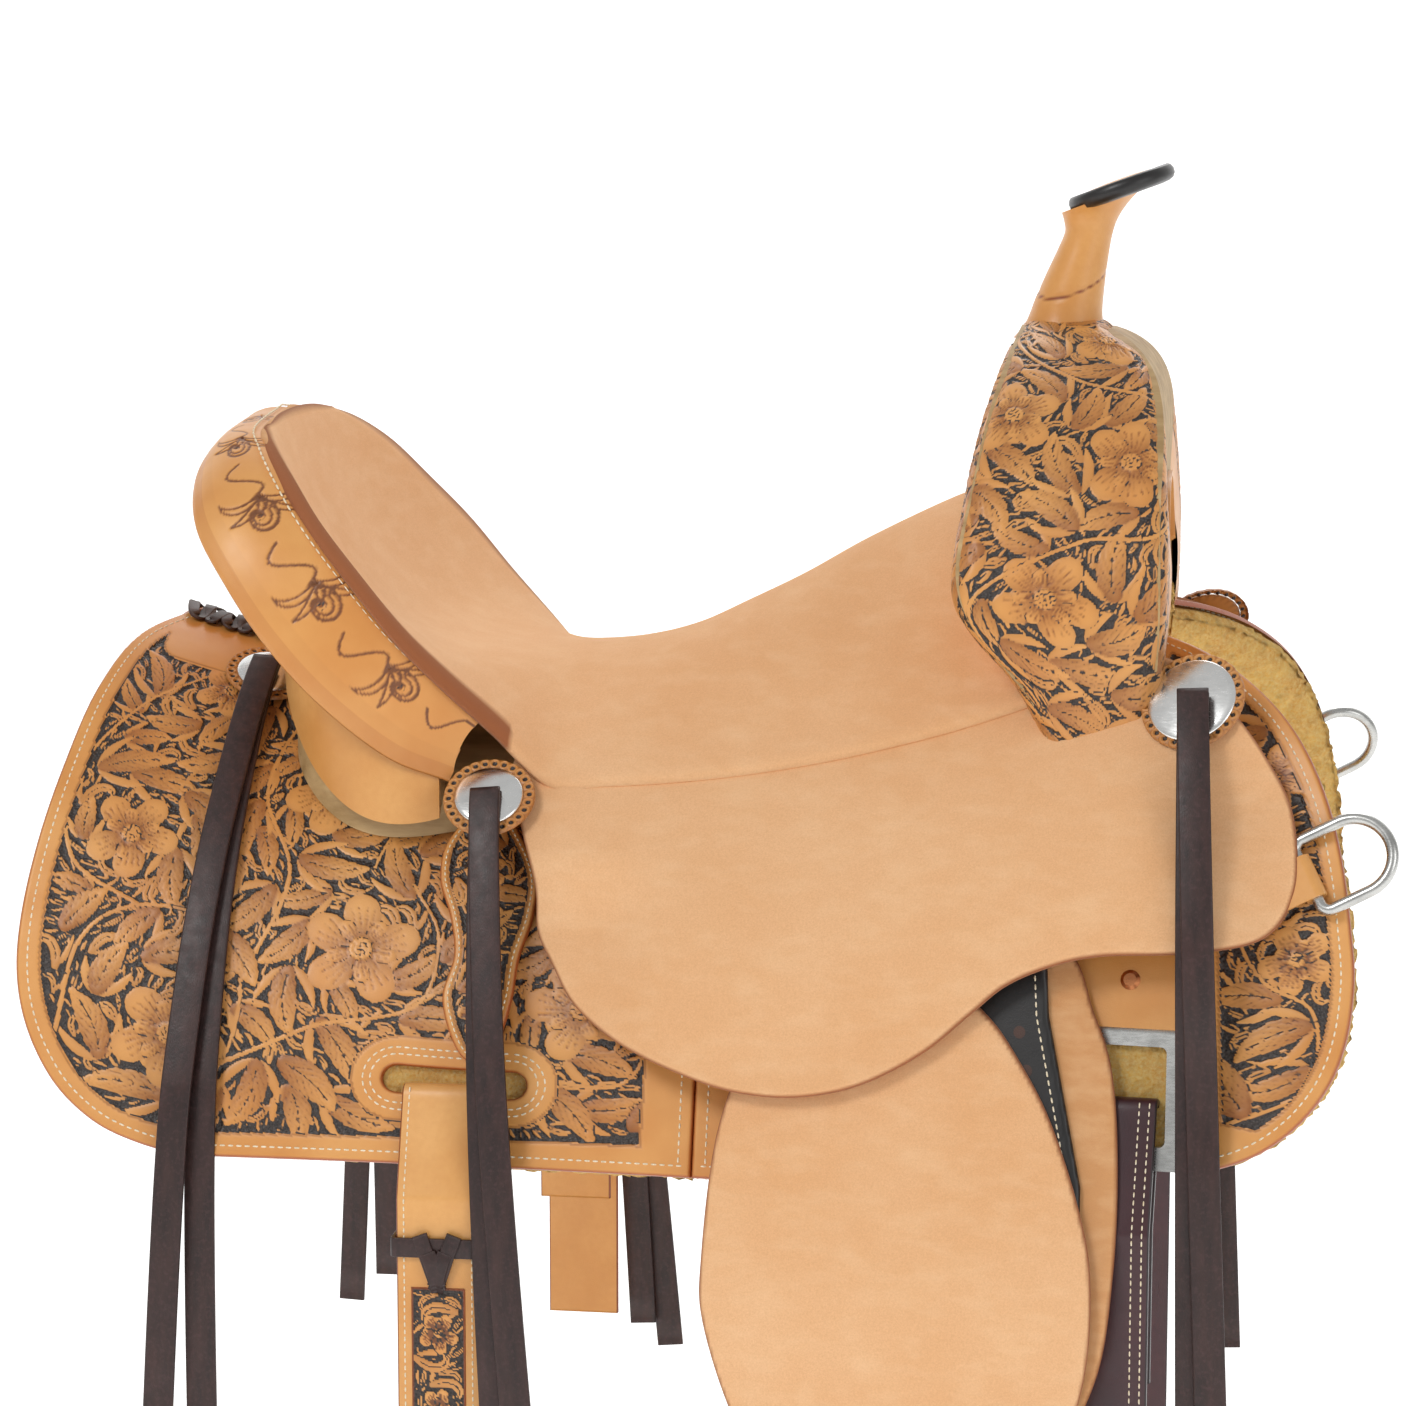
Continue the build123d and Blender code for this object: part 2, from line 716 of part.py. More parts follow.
def concho(x, z, offset, radius, slot):
    with BuildPart() as disc:
        with BuildSketch(shell_plane(x, z, offset).offset(ROSETTE_T + 0.2)):
            Circle(radius)
        extrude(amount=CONCHO_T, taper=20)
        with BuildSketch(shell_plane(x, z, offset)):
            RectangleRounded(slot, 8, 2)
        extrude(amount=12, mode=Mode.SUBTRACT)
    return disc.part


with BuildPart() as rosettes_right:
    for x, z, offset, radius, outer in CONCHOS.values():
        add(round_leather(x, z, offset, outer, STRING_W + 2))

with BuildPart() as conchos_right:
    for x, z, offset, radius, outer in CONCHOS.values():
        add(concho(x, z, offset, radius, STRING_W + 2))

TAB = [
    (-85, -34), (-104, -52), (-106, -70), (-98, -88), (-94, -106), (-98, -126), (-90, -148),
    (-80, -156), (-68, -146), (-62, -126), (-60, -106), (-55, -88), (-55, -69), (-66, -51),
]
with BuildPart() as tab_right:
    add(side_band(0.3, 3.8, GAP))
    with BuildSketch(Plane.XZ):
        with BuildLine():
            Spline(TAB, periodic=True)
        make_face()
    extrude(amount=400, mode=Mode.INTERSECT)
    add(bar_right.part, mode=Mode.SUBTRACT)

# ---------------------------------------------------------------- breast collar dee
DEE_X, DEE_Z = 340.0, -50.0
DEE_WIRE = 3.0
KEEPER_R = 5.4
DEE_PLANE = shell_plane(DEE_X, DEE_Z, KEEPER_R + 0.4)
DEE_HALF = 19.0
DEE_REACH = 44.0


with BuildPart() as breast_dee_right:
    with BuildLine(DEE_PLANE) as dee_path:
        straight = DEE_REACH - DEE_HALF
        FilletPolyline(
            (straight, DEE_HALF), (0, DEE_HALF), (0, -DEE_HALF), (straight, -DEE_HALF), radius=5
        )
        ThreePointArc((straight, DEE_HALF), (DEE_REACH, 0), (straight, -DEE_HALF))
    with BuildSketch(Plane(origin=dee_path.line @ 0, z_dir=dee_path.line % 0)):
        Circle(DEE_WIRE)
    sweep(path=dee_path.line)

with BuildPart() as dee_keeper_right:
    across = Plane(
        origin=DEE_PLANE.origin - DEE_PLANE.y_dir * 11,
        x_dir=DEE_PLANE.x_dir,
        z_dir=-DEE_PLANE.y_dir,
    )
    with BuildSketch(across):
        with Locations((-16, KEEPER_R - 1.05)):
            Rectangle(32, 2.1)
        Circle(KEEPER_R)
        Circle(DEE_WIRE + 0.3, mode=Mode.SUBTRACT)
    extrude(amount=-22)

# ---------------------------------------------------------------- hanging leather
def hang_plane(x, z, side=-1):
    """Upright plane square to the skirt at a place: x away from the horse, y up."""
    lying = shell_plane(x, z, 0, side)
    out = Vector(lying.z_dir.X, lying.z_dir.Y, 0).normalized()
    return Plane(origin=lying.origin, x_dir=out, z_dir=out.cross(Vector(0, 0, 1)))


def slab_point(plane, x, z, drop, offset):
    """Point in hang_plane coordinates, a drop below the place and an offset off the skirt."""
    normal = shell_plane(x, z).z_dir
    out = normal.dot(plane.x_dir)
    up = normal.Z
    return ((drop * up / out) + offset / out, -drop)


def hanging_layer(x, z, top_drop, bend_drop, bottom_drop, offset, thickness):
    """Layer parallel to the skirt that bends to hang straight down, 400 wide."""
    plane = hang_plane(x, z)
    middle = offset + thickness / 2
    top = slab_point(plane, x, z, top_drop, middle)
    bend = slab_point(plane, x, z, bend_drop, 0)
    lean = slab_point(plane, x, z, 1, 0)[0]
    out_x = bend[0] + middle
    corner_drop = (out_x - slab_point(plane, x, z, 0, middle)[0]) / lean
    with BuildPart() as layer:
        with BuildSketch(plane):
            with BuildLine() as path:
                FilletPolyline(top, (out_x, -corner_drop), (out_x, -bottom_drop), radius=BEND_R)
            trace(path.line, line_width=thickness)
        extrude(amount=200, both=True)
    return layer.part


def side_shape(points):
    """Prism through the right side over a smooth outline seen from the side."""
    with BuildPart() as prism:
        with BuildSketch(Plane.XZ):
            with BuildLine():
                Spline(points, periodic=True)
            make_face()
        extrude(amount=500)
    return prism.part


def fender_layer(top_z, bottom_z, offset, thickness):
    drops = [FENDER_FLAT_Z - level for level in (top_z, BEND_Z, bottom_z)]
    return hanging_layer(FENDER_X, FENDER_FLAT_Z, *drops, offset, thickness)


BACKING_SHAPE = [
    (120, -92), (180, -84), (222, -90), (236, -118), (246, -146), (250, -190), (249, -240),
    (242, -290), (222, -330), (190, -352), (150, -345), (110, -310), (96, -240), (98, -160),
    (106, -110),
]
FENDER_SHAPE = [
    (128, -112), (165, -110), (185, -122), (202, -144), (216, -168), (230, -204), (238, -240),
    (236, -290), (220, -340), (196, -385), (186, -420), (168, -432), (138, -432), (118, -420),
    (100, -385), (66, -330), (46, -275), (44, -240), (50, -180), (66, -140), (94, -118),
]
LEATHER_OFFSET = STACK_START + BACKING + STACK_STEP
FENDER_OFFSET = LEATHER_OFFSET + STIRRUP_LEATHER + STACK_STEP

with BuildPart() as leather_backing_right:
    add(fender_layer(-80, -360, STACK_START, BACKING))
    add(side_shape(BACKING_SHAPE), mode=Mode.INTERSECT)

with BuildPart() as fender_right:
    add(fender_layer(-100, -440, FENDER_OFFSET, FENDER))
    add(side_shape(FENDER_SHAPE), mode=Mode.INTERSECT)

# The stirrup leather goes down to the bolt, round it and back up to the buckle.
LEATHER_PLANE = hang_plane(FENDER_X, FENDER_FLAT_Z)
BOLT_R = 6.0
LOOP_R = BOLT_R + 0.3 + STIRRUP_LEATHER / 2
LEATHER_MIDDLE = (
    slab_point(LEATHER_PLANE, FENDER_X, FENDER_FLAT_Z, FENDER_FLAT_Z - BEND_Z, 0)[0]
    + LEATHER_OFFSET + STIRRUP_LEATHER / 2
)
LEATHER_X = 158.0        # middle of the stirrup leather in side view, at the bend
BOLT_DROP = FENDER_FLAT_Z - STIRRUP_Z
BOLT_OUT = LEATHER_MIDDLE + LOOP_R
BUCKLE_DROP = FENDER_FLAT_Z - BUCKLE_Z

with BuildPart() as leather_down:
    add(fender_layer(-86, STIRRUP_Z, LEATHER_OFFSET, STIRRUP_LEATHER))
    with BuildSketch(Plane.XZ):
        with BuildLine():
            Polyline(
                (176, -84), (212, -88), (212, -120), (232, -200), (232, -300), (195.5, -420),
                (195.5, -600), (120.5, -600), (120.5, -420), (140, -200), (158, -110), close=True,
            )
        make_face()
    extrude(amount=500, mode=Mode.INTERSECT)

with BuildPart() as leather_loop:
    with BuildSketch(LEATHER_PLANE):
        with BuildLine() as loop_path:
            Line((LEATHER_MIDDLE, -BOLT_DROP + 20), (LEATHER_MIDDLE, -BOLT_DROP))
            ThreePointArc(
                (LEATHER_MIDDLE, -BOLT_DROP),
                (BOLT_OUT, -BOLT_DROP - LOOP_R),
                (BOLT_OUT + LOOP_R, -BOLT_DROP),
            )
            FilletPolyline(
                (BOLT_OUT + LOOP_R, -BOLT_DROP),
                (BOLT_OUT + LOOP_R, -BOLT_DROP + 16),
                (LEATHER_MIDDLE + STIRRUP_LEATHER + 0.3, -BOLT_DROP + 36),
                (LEATHER_MIDDLE + STIRRUP_LEATHER + 0.3, -BUCKLE_DROP - 6),
                radius=9,
            )
        trace(loop_path.line, line_width=STIRRUP_LEATHER)
    extrude(amount=220, both=True)
    with BuildSketch(Plane.XZ):
        with Locations((158, -520)):
            Rectangle(STRAP, 200)
    extrude(amount=500, mode=Mode.INTERSECT)

with BuildPart() as stirrup_leather_right:
    add(leather_down.part)
    add(leather_loop.part)


# ---------------------------------------------------------------- stirrup and its fittings
STIRRUP_INSIDE_TOP = 82.0
STIRRUP_WALL = 13.0
STIRRUP_DEPTH = 46.0
FRONT_OF_PLANE = -1 if LEATHER_PLANE.z_dir.X < 0 else 1


def stirrup_plane():
    """Plane across the horse's side through the bolt: x along the bolt, y up."""
    bolt = LEATHER_PLANE.from_local_coords((BOLT_OUT, -BOLT_DROP, 0))
    along = LEATHER_PLANE.z_dir * FRONT_OF_PLANE
    bolt = bolt + along * ((LEATHER_X - bolt.X) / along.X)
    return Plane(origin=bolt, x_dir=along, z_dir=along.cross(Vector(0, 0, 1)))


STIRRUP_PLANE = stirrup_plane()
EAR = 9.0
TREAD_T = 9.0
TREAD_TOP = -STIRRUP_H + STIRRUP_WALL


def bow_face(top, low, low_y, foot, corner):
    """One closed outline of the stirrup bow, open straight across the top."""
    with BuildSketch() as face:
        with BuildLine():
            FilletPolyline(
                (-top, EAR), (-low, -STIRRUP_H * 0.62), (-low + foot, low_y),
                (low - foot, low_y), (low, -STIRRUP_H * 0.62), (top, EAR), radius=corner,
            )
            Line((-top, EAR), (top, EAR))
        make_face()
    return face.sketch


def bow(inset, depth):
    """Stirrup bow with its faces moved in by inset."""
    wall_top, wall_low = STIRRUP_INSIDE_TOP / 2, STIRRUP_W / 2
    outer = bow_face(
        wall_top + STIRRUP_WALL - inset, wall_low + STIRRUP_WALL - inset,
        -STIRRUP_H - 6 + inset, 14, 16,
    )
    inner = bow_face(wall_top + inset, wall_low + inset, TREAD_TOP - inset, 8, 12)
    with BuildPart() as solid:
        with BuildSketch(STIRRUP_PLANE):
            add(outer)
            add(inner, mode=Mode.SUBTRACT)
        extrude(amount=depth / 2 - inset, both=True)
    return solid.part


def bolt_rod(radius, half):
    with BuildPart() as rod:
        with BuildSketch(Plane(origin=STIRRUP_PLANE.origin, z_dir=STIRRUP_PLANE.x_dir)):
            Circle(radius)
        extrude(amount=half, both=True)
    return rod.part


BOLT_HALF = STIRRUP_INSIDE_TOP / 2 + STIRRUP_WALL + 7

with BuildPart() as stirrup_core_right:
    add(bow(3.2, STIRRUP_DEPTH))
    add(bolt_rod(BOLT_R, BOLT_HALF + 5), mode=Mode.SUBTRACT)

with BuildPart() as stirrup_cover_right:
    add(bow(0, STIRRUP_DEPTH))
    add(bow(3.0, STIRRUP_DEPTH), mode=Mode.SUBTRACT)
    add(bolt_rod(BOLT_R, BOLT_HALF + 5), mode=Mode.SUBTRACT)

with BuildPart() as stirrup_bolt_right:
    add(bolt_rod(BOLT_R - 0.1, BOLT_HALF))
    add(bolt_rod(BOLT_R + 4, BOLT_HALF + 4))
    add(bolt_rod(BOLT_R + 5, BOLT_HALF - 0.9), mode=Mode.SUBTRACT)
    add(bolt_rod(BOLT_R - 0.1, BOLT_HALF))

with BuildPart() as stirrup_tread_right:
    with BuildSketch(STIRRUP_PLANE):
        with Locations((0, TREAD_TOP + TREAD_T / 2 + 0.3)):
            Rectangle(STIRRUP_W - 38, TREAD_T)
    extrude(amount=STIRRUP_DEPTH / 2 + 6, both=True)
    fillet(stirrup_tread_right.edges().filter_by(Axis(STIRRUP_PLANE.origin, STIRRUP_PLANE.x_dir)), 4)

STRAP_OUTER = LEATHER_MIDDLE + STIRRUP_LEATHER * 1.5 + 0.3
STRAP_INNER = LEATHER_MIDDLE - STIRRUP_LEATHER * 0.5


def strap_band(drop, height, gap, thickness):
    """Flat ring round both plies of the stirrup leather."""
    out = (STRAP_OUTER + STRAP_INNER) / 2
    half_out = (STRAP_OUTER - STRAP_INNER) / 2 + gap
    half = STRAP / 2 + gap + 0.6
    origin = LEATHER_PLANE.from_local_coords((out, -drop, 0))
    origin = origin + STIRRUP_PLANE.x_dir * ((LEATHER_X - origin.X) / STIRRUP_PLANE.x_dir.X)
    with BuildPart() as band:
        with BuildSketch(Plane(origin=origin, x_dir=STIRRUP_PLANE.x_dir, z_dir=(0, 0, 1))):
            RectangleRounded(2 * (half + thickness), 2 * (half_out + thickness), thickness)
            Rectangle(2 * half, 2 * half_out, mode=Mode.SUBTRACT)
        extrude(amount=height / 2, both=True)
    return band.part


with BuildPart() as buckle_right:
    add(strap_band(BUCKLE_DROP + 10, 28, 0.4, 2.5))

with BuildPart() as hobble_strap_right:
    add(strap_band(BUCKLE_DROP + 36, 16, 0.4, 3.0))

# ---------------------------------------------------------------- flank billet and lace
BILLET_X = -94.0
BILLET_TOP = -174.0
BILLET_W = 43.0
BILLET_T = 4.0
BILLET_END = -410.0
WEB_IN = SKIRT + WOOL + 1.2          # inner leg clears the wool
BILLET_PLANE = hang_plane(BILLET_X, BILLET_TOP)


def looped_billet(x, z, top, inner, bottom_z, inner_end_z, width, plane):
    """Strap over a web: outer leg to bottom_z, inner leg to inner_end_z."""
    outer = 1.2 + BILLET_T / 2
    bend = z + 222
    inner = inner + BILLET_T / 2
    normal = shell_plane(x, z).z_dir
    low = slab_point(plane, x, z, bend, outer)
    inner_low = slab_point(plane, x, z, bend, -inner)
    over = slab_point(plane, x, z, -top, outer)
    under = (over[0] - (outer + inner) * normal.dot(plane.x_dir), over[1] - (outer + inner) * normal.Z)
    with BuildPart() as strap:
        with BuildSketch(plane):
            with BuildLine() as path:
                FilletPolyline(
                    (low[0], bottom_z - z),
                    low,
                    over,
                    under,
                    inner_low,
                    (inner_low[0] + 1, inner_end_z - z),
                    radius=5,
                )
            trace(path.line, line_width=BILLET_T)
        extrude(amount=width / 2, both=True)
    return strap.part


with BuildPart() as flank_billet_right:
    add(looped_billet(BILLET_X, BILLET_TOP, 6, WEB_IN, BILLET_END, -330, BILLET_W, BILLET_PLANE))

LACE_Z = -252.0


def lace_band(x, z, plane, low_z, height, width):
    """Lace wrapped round both legs of a billet, hanging straight."""
    outer = slab_point(plane, x, z, z + 222, 1.2 + BILLET_T / 2)[0] + BILLET_T / 2
    inner = slab_point(plane, x, z, z + 222, -WEB_IN)[0] - BILLET_T
    with BuildPart() as band:
        with BuildSketch(plane):
            with Locations(((outer + inner) / 2, low_z + height / 2 - z)):
                Rectangle(outer - inner + 5.2, height)
        extrude(amount=width / 2 + 2.4, both=True)
        with BuildSketch(plane):
            with Locations(((outer + inner) / 2, low_z + height / 2 - z)):
                Rectangle(outer - inner + 0.6, height + 10)
        extrude(amount=width / 2 + 0.3, both=True, mode=Mode.SUBTRACT)
    return band.part


with BuildPart() as billet_lace_right:
    add(lace_band(BILLET_X, BILLET_TOP, BILLET_PLANE, LACE_Z, 10, BILLET_W))

# ---------------------------------------------------------------- front billet on the plate
FRONT_X = 248.0
FRONT_TOP = -187.5                   # the rigging plate's lower bar
FRONT_W = 40.0
FRONT_END = -470.0
FRONT_PLANE = hang_plane(FRONT_X, FRONT_TOP)

with BuildPart() as front_billet_right:
    add(looped_billet(FRONT_X, FRONT_TOP, 28, 6.0, FRONT_END, -300, FRONT_W, FRONT_PLANE))

# ---------------------------------------------------------------- hanging saddle strings
# Where each pair of strings rests on its way down: (height, offset off the skirt).
STRING_RESTS = {
    "mid": [(-208, 17)],
    "front": [(-26, JOCKEY_TOP + 6), (-86, JOCKEY_TOP + 3), (-150, 10), (-214, 1.5)],
    "rear": [(-32, 3), (-70, 3), (-120, 3), (-208, 3.5)],
}
# Two strings come out of each concho: (drift in degrees, 1 for the outer one, end height).
STRING_PAIRS = {
    "mid": [(3.0, 0, -420), (5.2, 1, -436)],
    "front": [(1.0, 0, -400), (2.6, 1, -424)],
    "rear": [(0.4, 0, -392), (-3.0, 1, -412)],
}
OUTER_STEP = {"mid": 4.4, "front": 4.2, "rear": 7.5}
ON_CONCHO = {"mid": 2.4, "front": 5.5, "rear": 4.5}      # string's middle above the concho face


def string_points(key, order, end_z):
    """Corner points of one string in its own plane: (out, up) from the concho's foot."""
    x, z, offset, _, outer = CONCHOS[key]
    foot = side_y(x, z)
    slope = slope_at(x, z, offset)
    lift = ON_CONCHO[key] + order * (STRING_T + 0.6)
    middle = side_y(x, z, offset) - foot
    height = ROSETTE_T + 0.2 + CONCHO_T + lift
    points = []
    for down in (1.0, outer + 3.0):
        points.append((
            middle + height * sin(slope) + down * cos(slope),
            height * cos(slope) - down * sin(slope),
        ))
    for rest_z, rest_offset in STRING_RESTS[key]:
        out = side_y(x, rest_z, rest_offset) - foot + 2.2 + order * OUTER_STEP[key]
        points.append((out, rest_z - z))
    points.append((points[-1][0] + 0.5, end_z - z))
    return points


def corner_radii(points):
    """Largest bend at each corner that leaves a tenth of each run straight."""
    radii = []
    for i in range(1, len(points) - 1):
        (ax, ay), (bx, by), (cx, cy) = points[i - 1:i + 2]
        run_in, run_out = hypot(bx - ax, by - ay), hypot(cx - bx, cy - by)
        turn = abs(atan2(by - ay, bx - ax) - atan2(cy - by, cx - bx))
        radii.append(0.45 * min(run_in, run_out) / tan(turn / 2))
    return radii


def string_plane(key, drift, side=-1):
    """Upright plane across the horse at a concho, tipped so the string drifts forward as it falls."""
    x, z, _, _, _ = CONCHOS[key]
    tip = radians(drift)
    return Plane(
        origin=(x, side * side_y(x, z), z),
        x_dir=(0, side, 0),
        z_dir=(side * cos(tip), 0, side * sin(tip)),
    )


def hanging_string(key, drift, order, end_z):
    points = string_points(key, order, end_z)
    with BuildPart() as string:
        with BuildSketch(string_plane(key, drift)):
            with BuildLine() as path:
                FilletPolyline(*points, radius=corner_radii(points))
            trace(path.line, line_width=STRING_T)
        extrude(amount=STRING_W / 2, both=True)
    return string.part


def string_pair(key):
    with BuildPart() as pair:
        for drift, order, end_z in STRING_PAIRS[key]:
            add(hanging_string(key, drift, order, end_z))
    return pair.part


with BuildPart() as strings_mid_right:
    add(string_pair("mid"))

with BuildPart() as strings_front_right:
    add(string_pair("front"))

with BuildPart() as strings_rear_right:
    add(string_pair("rear"))


# ---------------------------------------------------------------- left side and export
RIGHT_ONLY = {
    "rear_skirt": rear_skirt_right,
    "front_skirt": front_skirt_right,
    "wool_lining": wool_lining_right,
    "breast_dee": breast_dee_right,
    "flank_billet": flank_billet_right,
    "billet_lace": billet_lace_right,
    "front_billet": front_billet_right,
    "leather_backing": leather_backing_right,
    "stirrup_leather": stirrup_leather_right,
    "fender": fender_right,
    "buckle": buckle_right,
    "hobble_strap": hobble_strap_right,
    "stirrup_core": stirrup_core_right,
    "stirrup_cover": stirrup_cover_right,
    "stirrup_bolt": stirrup_bolt_right,
    "stirrup_tread": stirrup_tread_right,
    "strings_mid": strings_mid_right,
    "strings_front": strings_front_right,
    "strings_rear": strings_rear_right,
}
BOTH_AT_ONCE = {
    "rigging_rivets": rivets_right,
    "rigging_plates": rigging_plate_right,
    "rigging_panels": rigging_panel_right,
    "dee_keepers": dee_keeper_right,
    "conchos": conchos_right,
    "concho_rosettes": rosettes_right,
    "billet_tabs": tab_right,
}
MIDDLE = {
    "tree_bars": tree_bars,
    "tree_fork": tree_fork,
    "tree_cantle": tree_cantle,
    "horn_core": horn_core,
    "horn_wrap": horn_wrap,
    "horn_cap_cover": horn_cap_cover,
    "horn_edge_binding": horn_edge_binding,
    "fork_cover": fork_cover,
    "gullet_cover": gullet_cover,
    "cantle_back": cantle_back,
    "ground_seat": ground_seat,
    "seat_pad": seat_pad,
    "seat_leather": seat_leather,
    "cantle_roll": cantle_roll,
    "skirt_lacing": skirt_lacing,
}


def save(name, part):
    part.label = name
    export_step(part, "parts/" + name + ".step")


os.makedirs("parts", exist_ok=True)
for name, piece in MIDDLE.items():
    save(name, piece.part)
for name, piece in BOTH_AT_ONCE.items():
    save(name, both_sides(piece.part))
for name, piece in RIGHT_ONLY.items():
    save(name + "_right", piece.part)
    save(name + "_left", left_of(piece.part))

for key, pair in STRING_PAIRS.items():
    for drift, order, end_z in pair:
        radii = [round(r) for r in corner_radii(string_points(key, order, end_z))]
        print("strings_" + key, "string", order + 1, "bend radii in mm", radii)
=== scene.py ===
"""Looks of the western saddle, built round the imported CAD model. Metres in Blender, millimetres below."""
from math import acos, atan2, ceil, cos, hypot, pi, radians, sin, sqrt, tan

import bpy
import numpy as np
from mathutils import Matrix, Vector


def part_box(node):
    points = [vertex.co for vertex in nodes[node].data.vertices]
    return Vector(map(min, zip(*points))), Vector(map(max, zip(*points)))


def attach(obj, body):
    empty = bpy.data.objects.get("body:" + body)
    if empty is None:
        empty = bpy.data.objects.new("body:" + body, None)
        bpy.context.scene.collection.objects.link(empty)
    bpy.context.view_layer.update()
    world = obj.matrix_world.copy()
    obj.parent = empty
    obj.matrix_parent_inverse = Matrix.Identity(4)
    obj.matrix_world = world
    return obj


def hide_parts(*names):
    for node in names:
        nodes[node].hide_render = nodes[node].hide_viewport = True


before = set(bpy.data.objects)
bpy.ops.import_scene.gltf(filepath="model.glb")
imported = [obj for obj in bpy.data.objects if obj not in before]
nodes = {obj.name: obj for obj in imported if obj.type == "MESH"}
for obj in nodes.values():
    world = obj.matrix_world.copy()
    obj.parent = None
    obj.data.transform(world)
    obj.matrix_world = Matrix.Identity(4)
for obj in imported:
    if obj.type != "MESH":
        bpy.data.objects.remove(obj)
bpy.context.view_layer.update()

MM = 0.001

# ---------------------------------------------------------------- sizes shared with the CAD source, in mm
SPINE_X, SPINE_R, SECTION_R, AXIS_Z = -60.0, 700.0, 280.0, 719.0
CREST, SIDE = radians(15), radians(70)
CREST_Y, CREST_DEPTH = SECTION_R * sin(CREST), SECTION_R * cos(CREST)
ROUND_RUN = SECTION_R * (SIDE - CREST)
AROUND = 800.0
JOCKEY_TOP = 30.0
REAR_SKIRT = [
    (-272, 53), (-294, 43), (-305, 20), (-312, -15), (-318, -50), (-322, -86), (-322, -114),
    (-317, -137), (-307, -158), (-293, -176), (-273, -191), (-250, -200), (-228, -205),
]
FRONT_SKIRT = [
    (286, -189), (297, -190), (319, -181), (338, -166), (352, -147), (360, -125), (363, -98),
    (361, -74), (357, -46), (350, -18), (339, 7), (325, 26), (305, 42), (284, 52), (262, 58),
]
SEAM_X, SKIRT_BOTTOM = 35.0, -208.0
PLATE = (205.0, 281.0, -193.0, -84.0)
SLOT_X, SLOT_Z, SLOT_W, SLOT_H = -90.0, -167.0, 68.0, 14.0
JOCKEY_REAR = [
    (-70, -1), (-71, -16), (-61, -42), (-52, -64), (-50, -82), (-41, -98), (-27, -119), (0, -139),
    (37, -154), (65, -160), (93, -160), (122, -153), (152, -137), (176, -117), (193, -103),
    (215, -93), (239, -87), (278, -84), (307, -78), (322, -68), (330, -51), (331, -32),
    (327, -9), (318, 9), (305, 26), (283, 46), (262, 54),
]
SEAT_ROWS = [
    (-218, 164, -214, 74, 157), (-207, 136, -204, 100, 149), (-192, 104, -190, 122, 135),
    (-172, 74, -172, 139, 113), (-148, 52, -150, 149, 88), (-120, 40, -126, 150, 59),
    (-96, 35, -102, 144, 34), (-76, 34, -80, 135, 12), (-50, 34, -50, 130, None),
    (-20, 37, -20, 130, None), (10, 45, 10, 130, None), (40, 59, 40, 130, None),
    (70, 74, 70, 130, None), (105, 94, 105, 130, None), (150, 116, 150, 130, None),
    (178, 126, 178, 130, None), (206, 136, 206, 130, None),
]
ROLL_RIM = [
    (-218, 0, 164), (-214, 74, 157), (-204, 100, 149), (-190, 122, 135), (-172, 139, 113),
    (-150, 149, 88), (-126, 150, 59), (-102, 144, 34), (-82, 136, 14),
]
ROLL_LIP = [
    (-245, 0, 156), (-243, 70, 149), (-240, 112, 135), (-231, 142, 115), (-213, 159, 90),
    (-190, 166, 59), (-163, 162, 28), (-130, 150, -1), (-100, 139, -15),
]
TAB = [
    (-85, -34), (-104, -52), (-106, -70), (-98, -88), (-94, -106), (-98, -126), (-90, -148),
    (-80, -156), (-68, -146), (-62, -126), (-60, -106), (-55, -88), (-55, -69), (-66, -51),
]
FORK_PROFILE = [
    (0, 217), (24, 214), (60, 203), (108, 172), (146, 124), (163, 76), (161, 34), (152, -8),
]
FORK_REAR = [(182, 214), (170, 168), (163, 128), (159, 88), (171, 61), (192, 36), (206, 8)]
FORK_FRONT = [(262, -30), (266, 30), (268, 80), (267, 134), (260, 194), (236, 214)]
CONCHOS = {
    "mid": (-79, -27, 36.0, 18.0, 24.0),
    "front": (282, 32, 30.4, 23.0, 27.0),
    "rear": (-221, 21, 0.4, 18.0, 24.0),
}


# ---------------------------------------------------------------- shape of the horse's back
def shell(u, s, off=0.0, side=-1):
    """Points at u along the horse and s down its side, lifted off the skirt."""
    u, s = np.broadcast_arrays(np.asarray(u, float), np.asarray(s, float))
    slope = CREST + np.minimum(s, ROUND_RUN) / SECTION_R
    past = np.maximum(s - ROUND_RUN, 0)
    y = (SECTION_R + off) * np.sin(slope) - CREST_Y + past * cos(SIDE)
    depth = CREST_DEPTH - (SECTION_R + off) * np.cos(slope) + past * sin(SIDE)
    turn = u / AROUND
    reach = SPINE_R + depth
    return np.stack([SPINE_X + reach * np.sin(turn), side * y, AXIS_Z - reach * np.cos(turn)], -1)


def shell_normal(u, s, side=-1):
    u, s = np.broadcast_arrays(np.asarray(u, float), np.asarray(s, float))
    slope = CREST + np.minimum(s, ROUND_RUN) / SECTION_R
    turn = u / AROUND
    return np.stack([-np.cos(slope) * np.sin(turn), side * np.sin(slope), np.cos(slope) * np.cos(turn)], -1)


def on_shell(x, z, off=0.0):
    """The (u, s) of a place seen from the side."""
    depth = hypot(x - SPINE_X, AXIS_Z - z) - SPINE_R
    reach = SECTION_R + off
    turn_depth = CREST_DEPTH - reach * cos(SIDE)
    u = AROUND * atan2(x - SPINE_X, AXIS_Z - z)
    if depth > turn_depth:
        return (u, ROUND_RUN + (depth - turn_depth) / sin(SIDE))
    return (u, SECTION_R * (acos(min((CREST_DEPTH - depth) / reach, 0.99999)) - CREST))


def side_y(x, z, off=0.0):
    u, s = on_shell(x, z, off)
    return float(shell(u, s, off, 1)[..., 1])


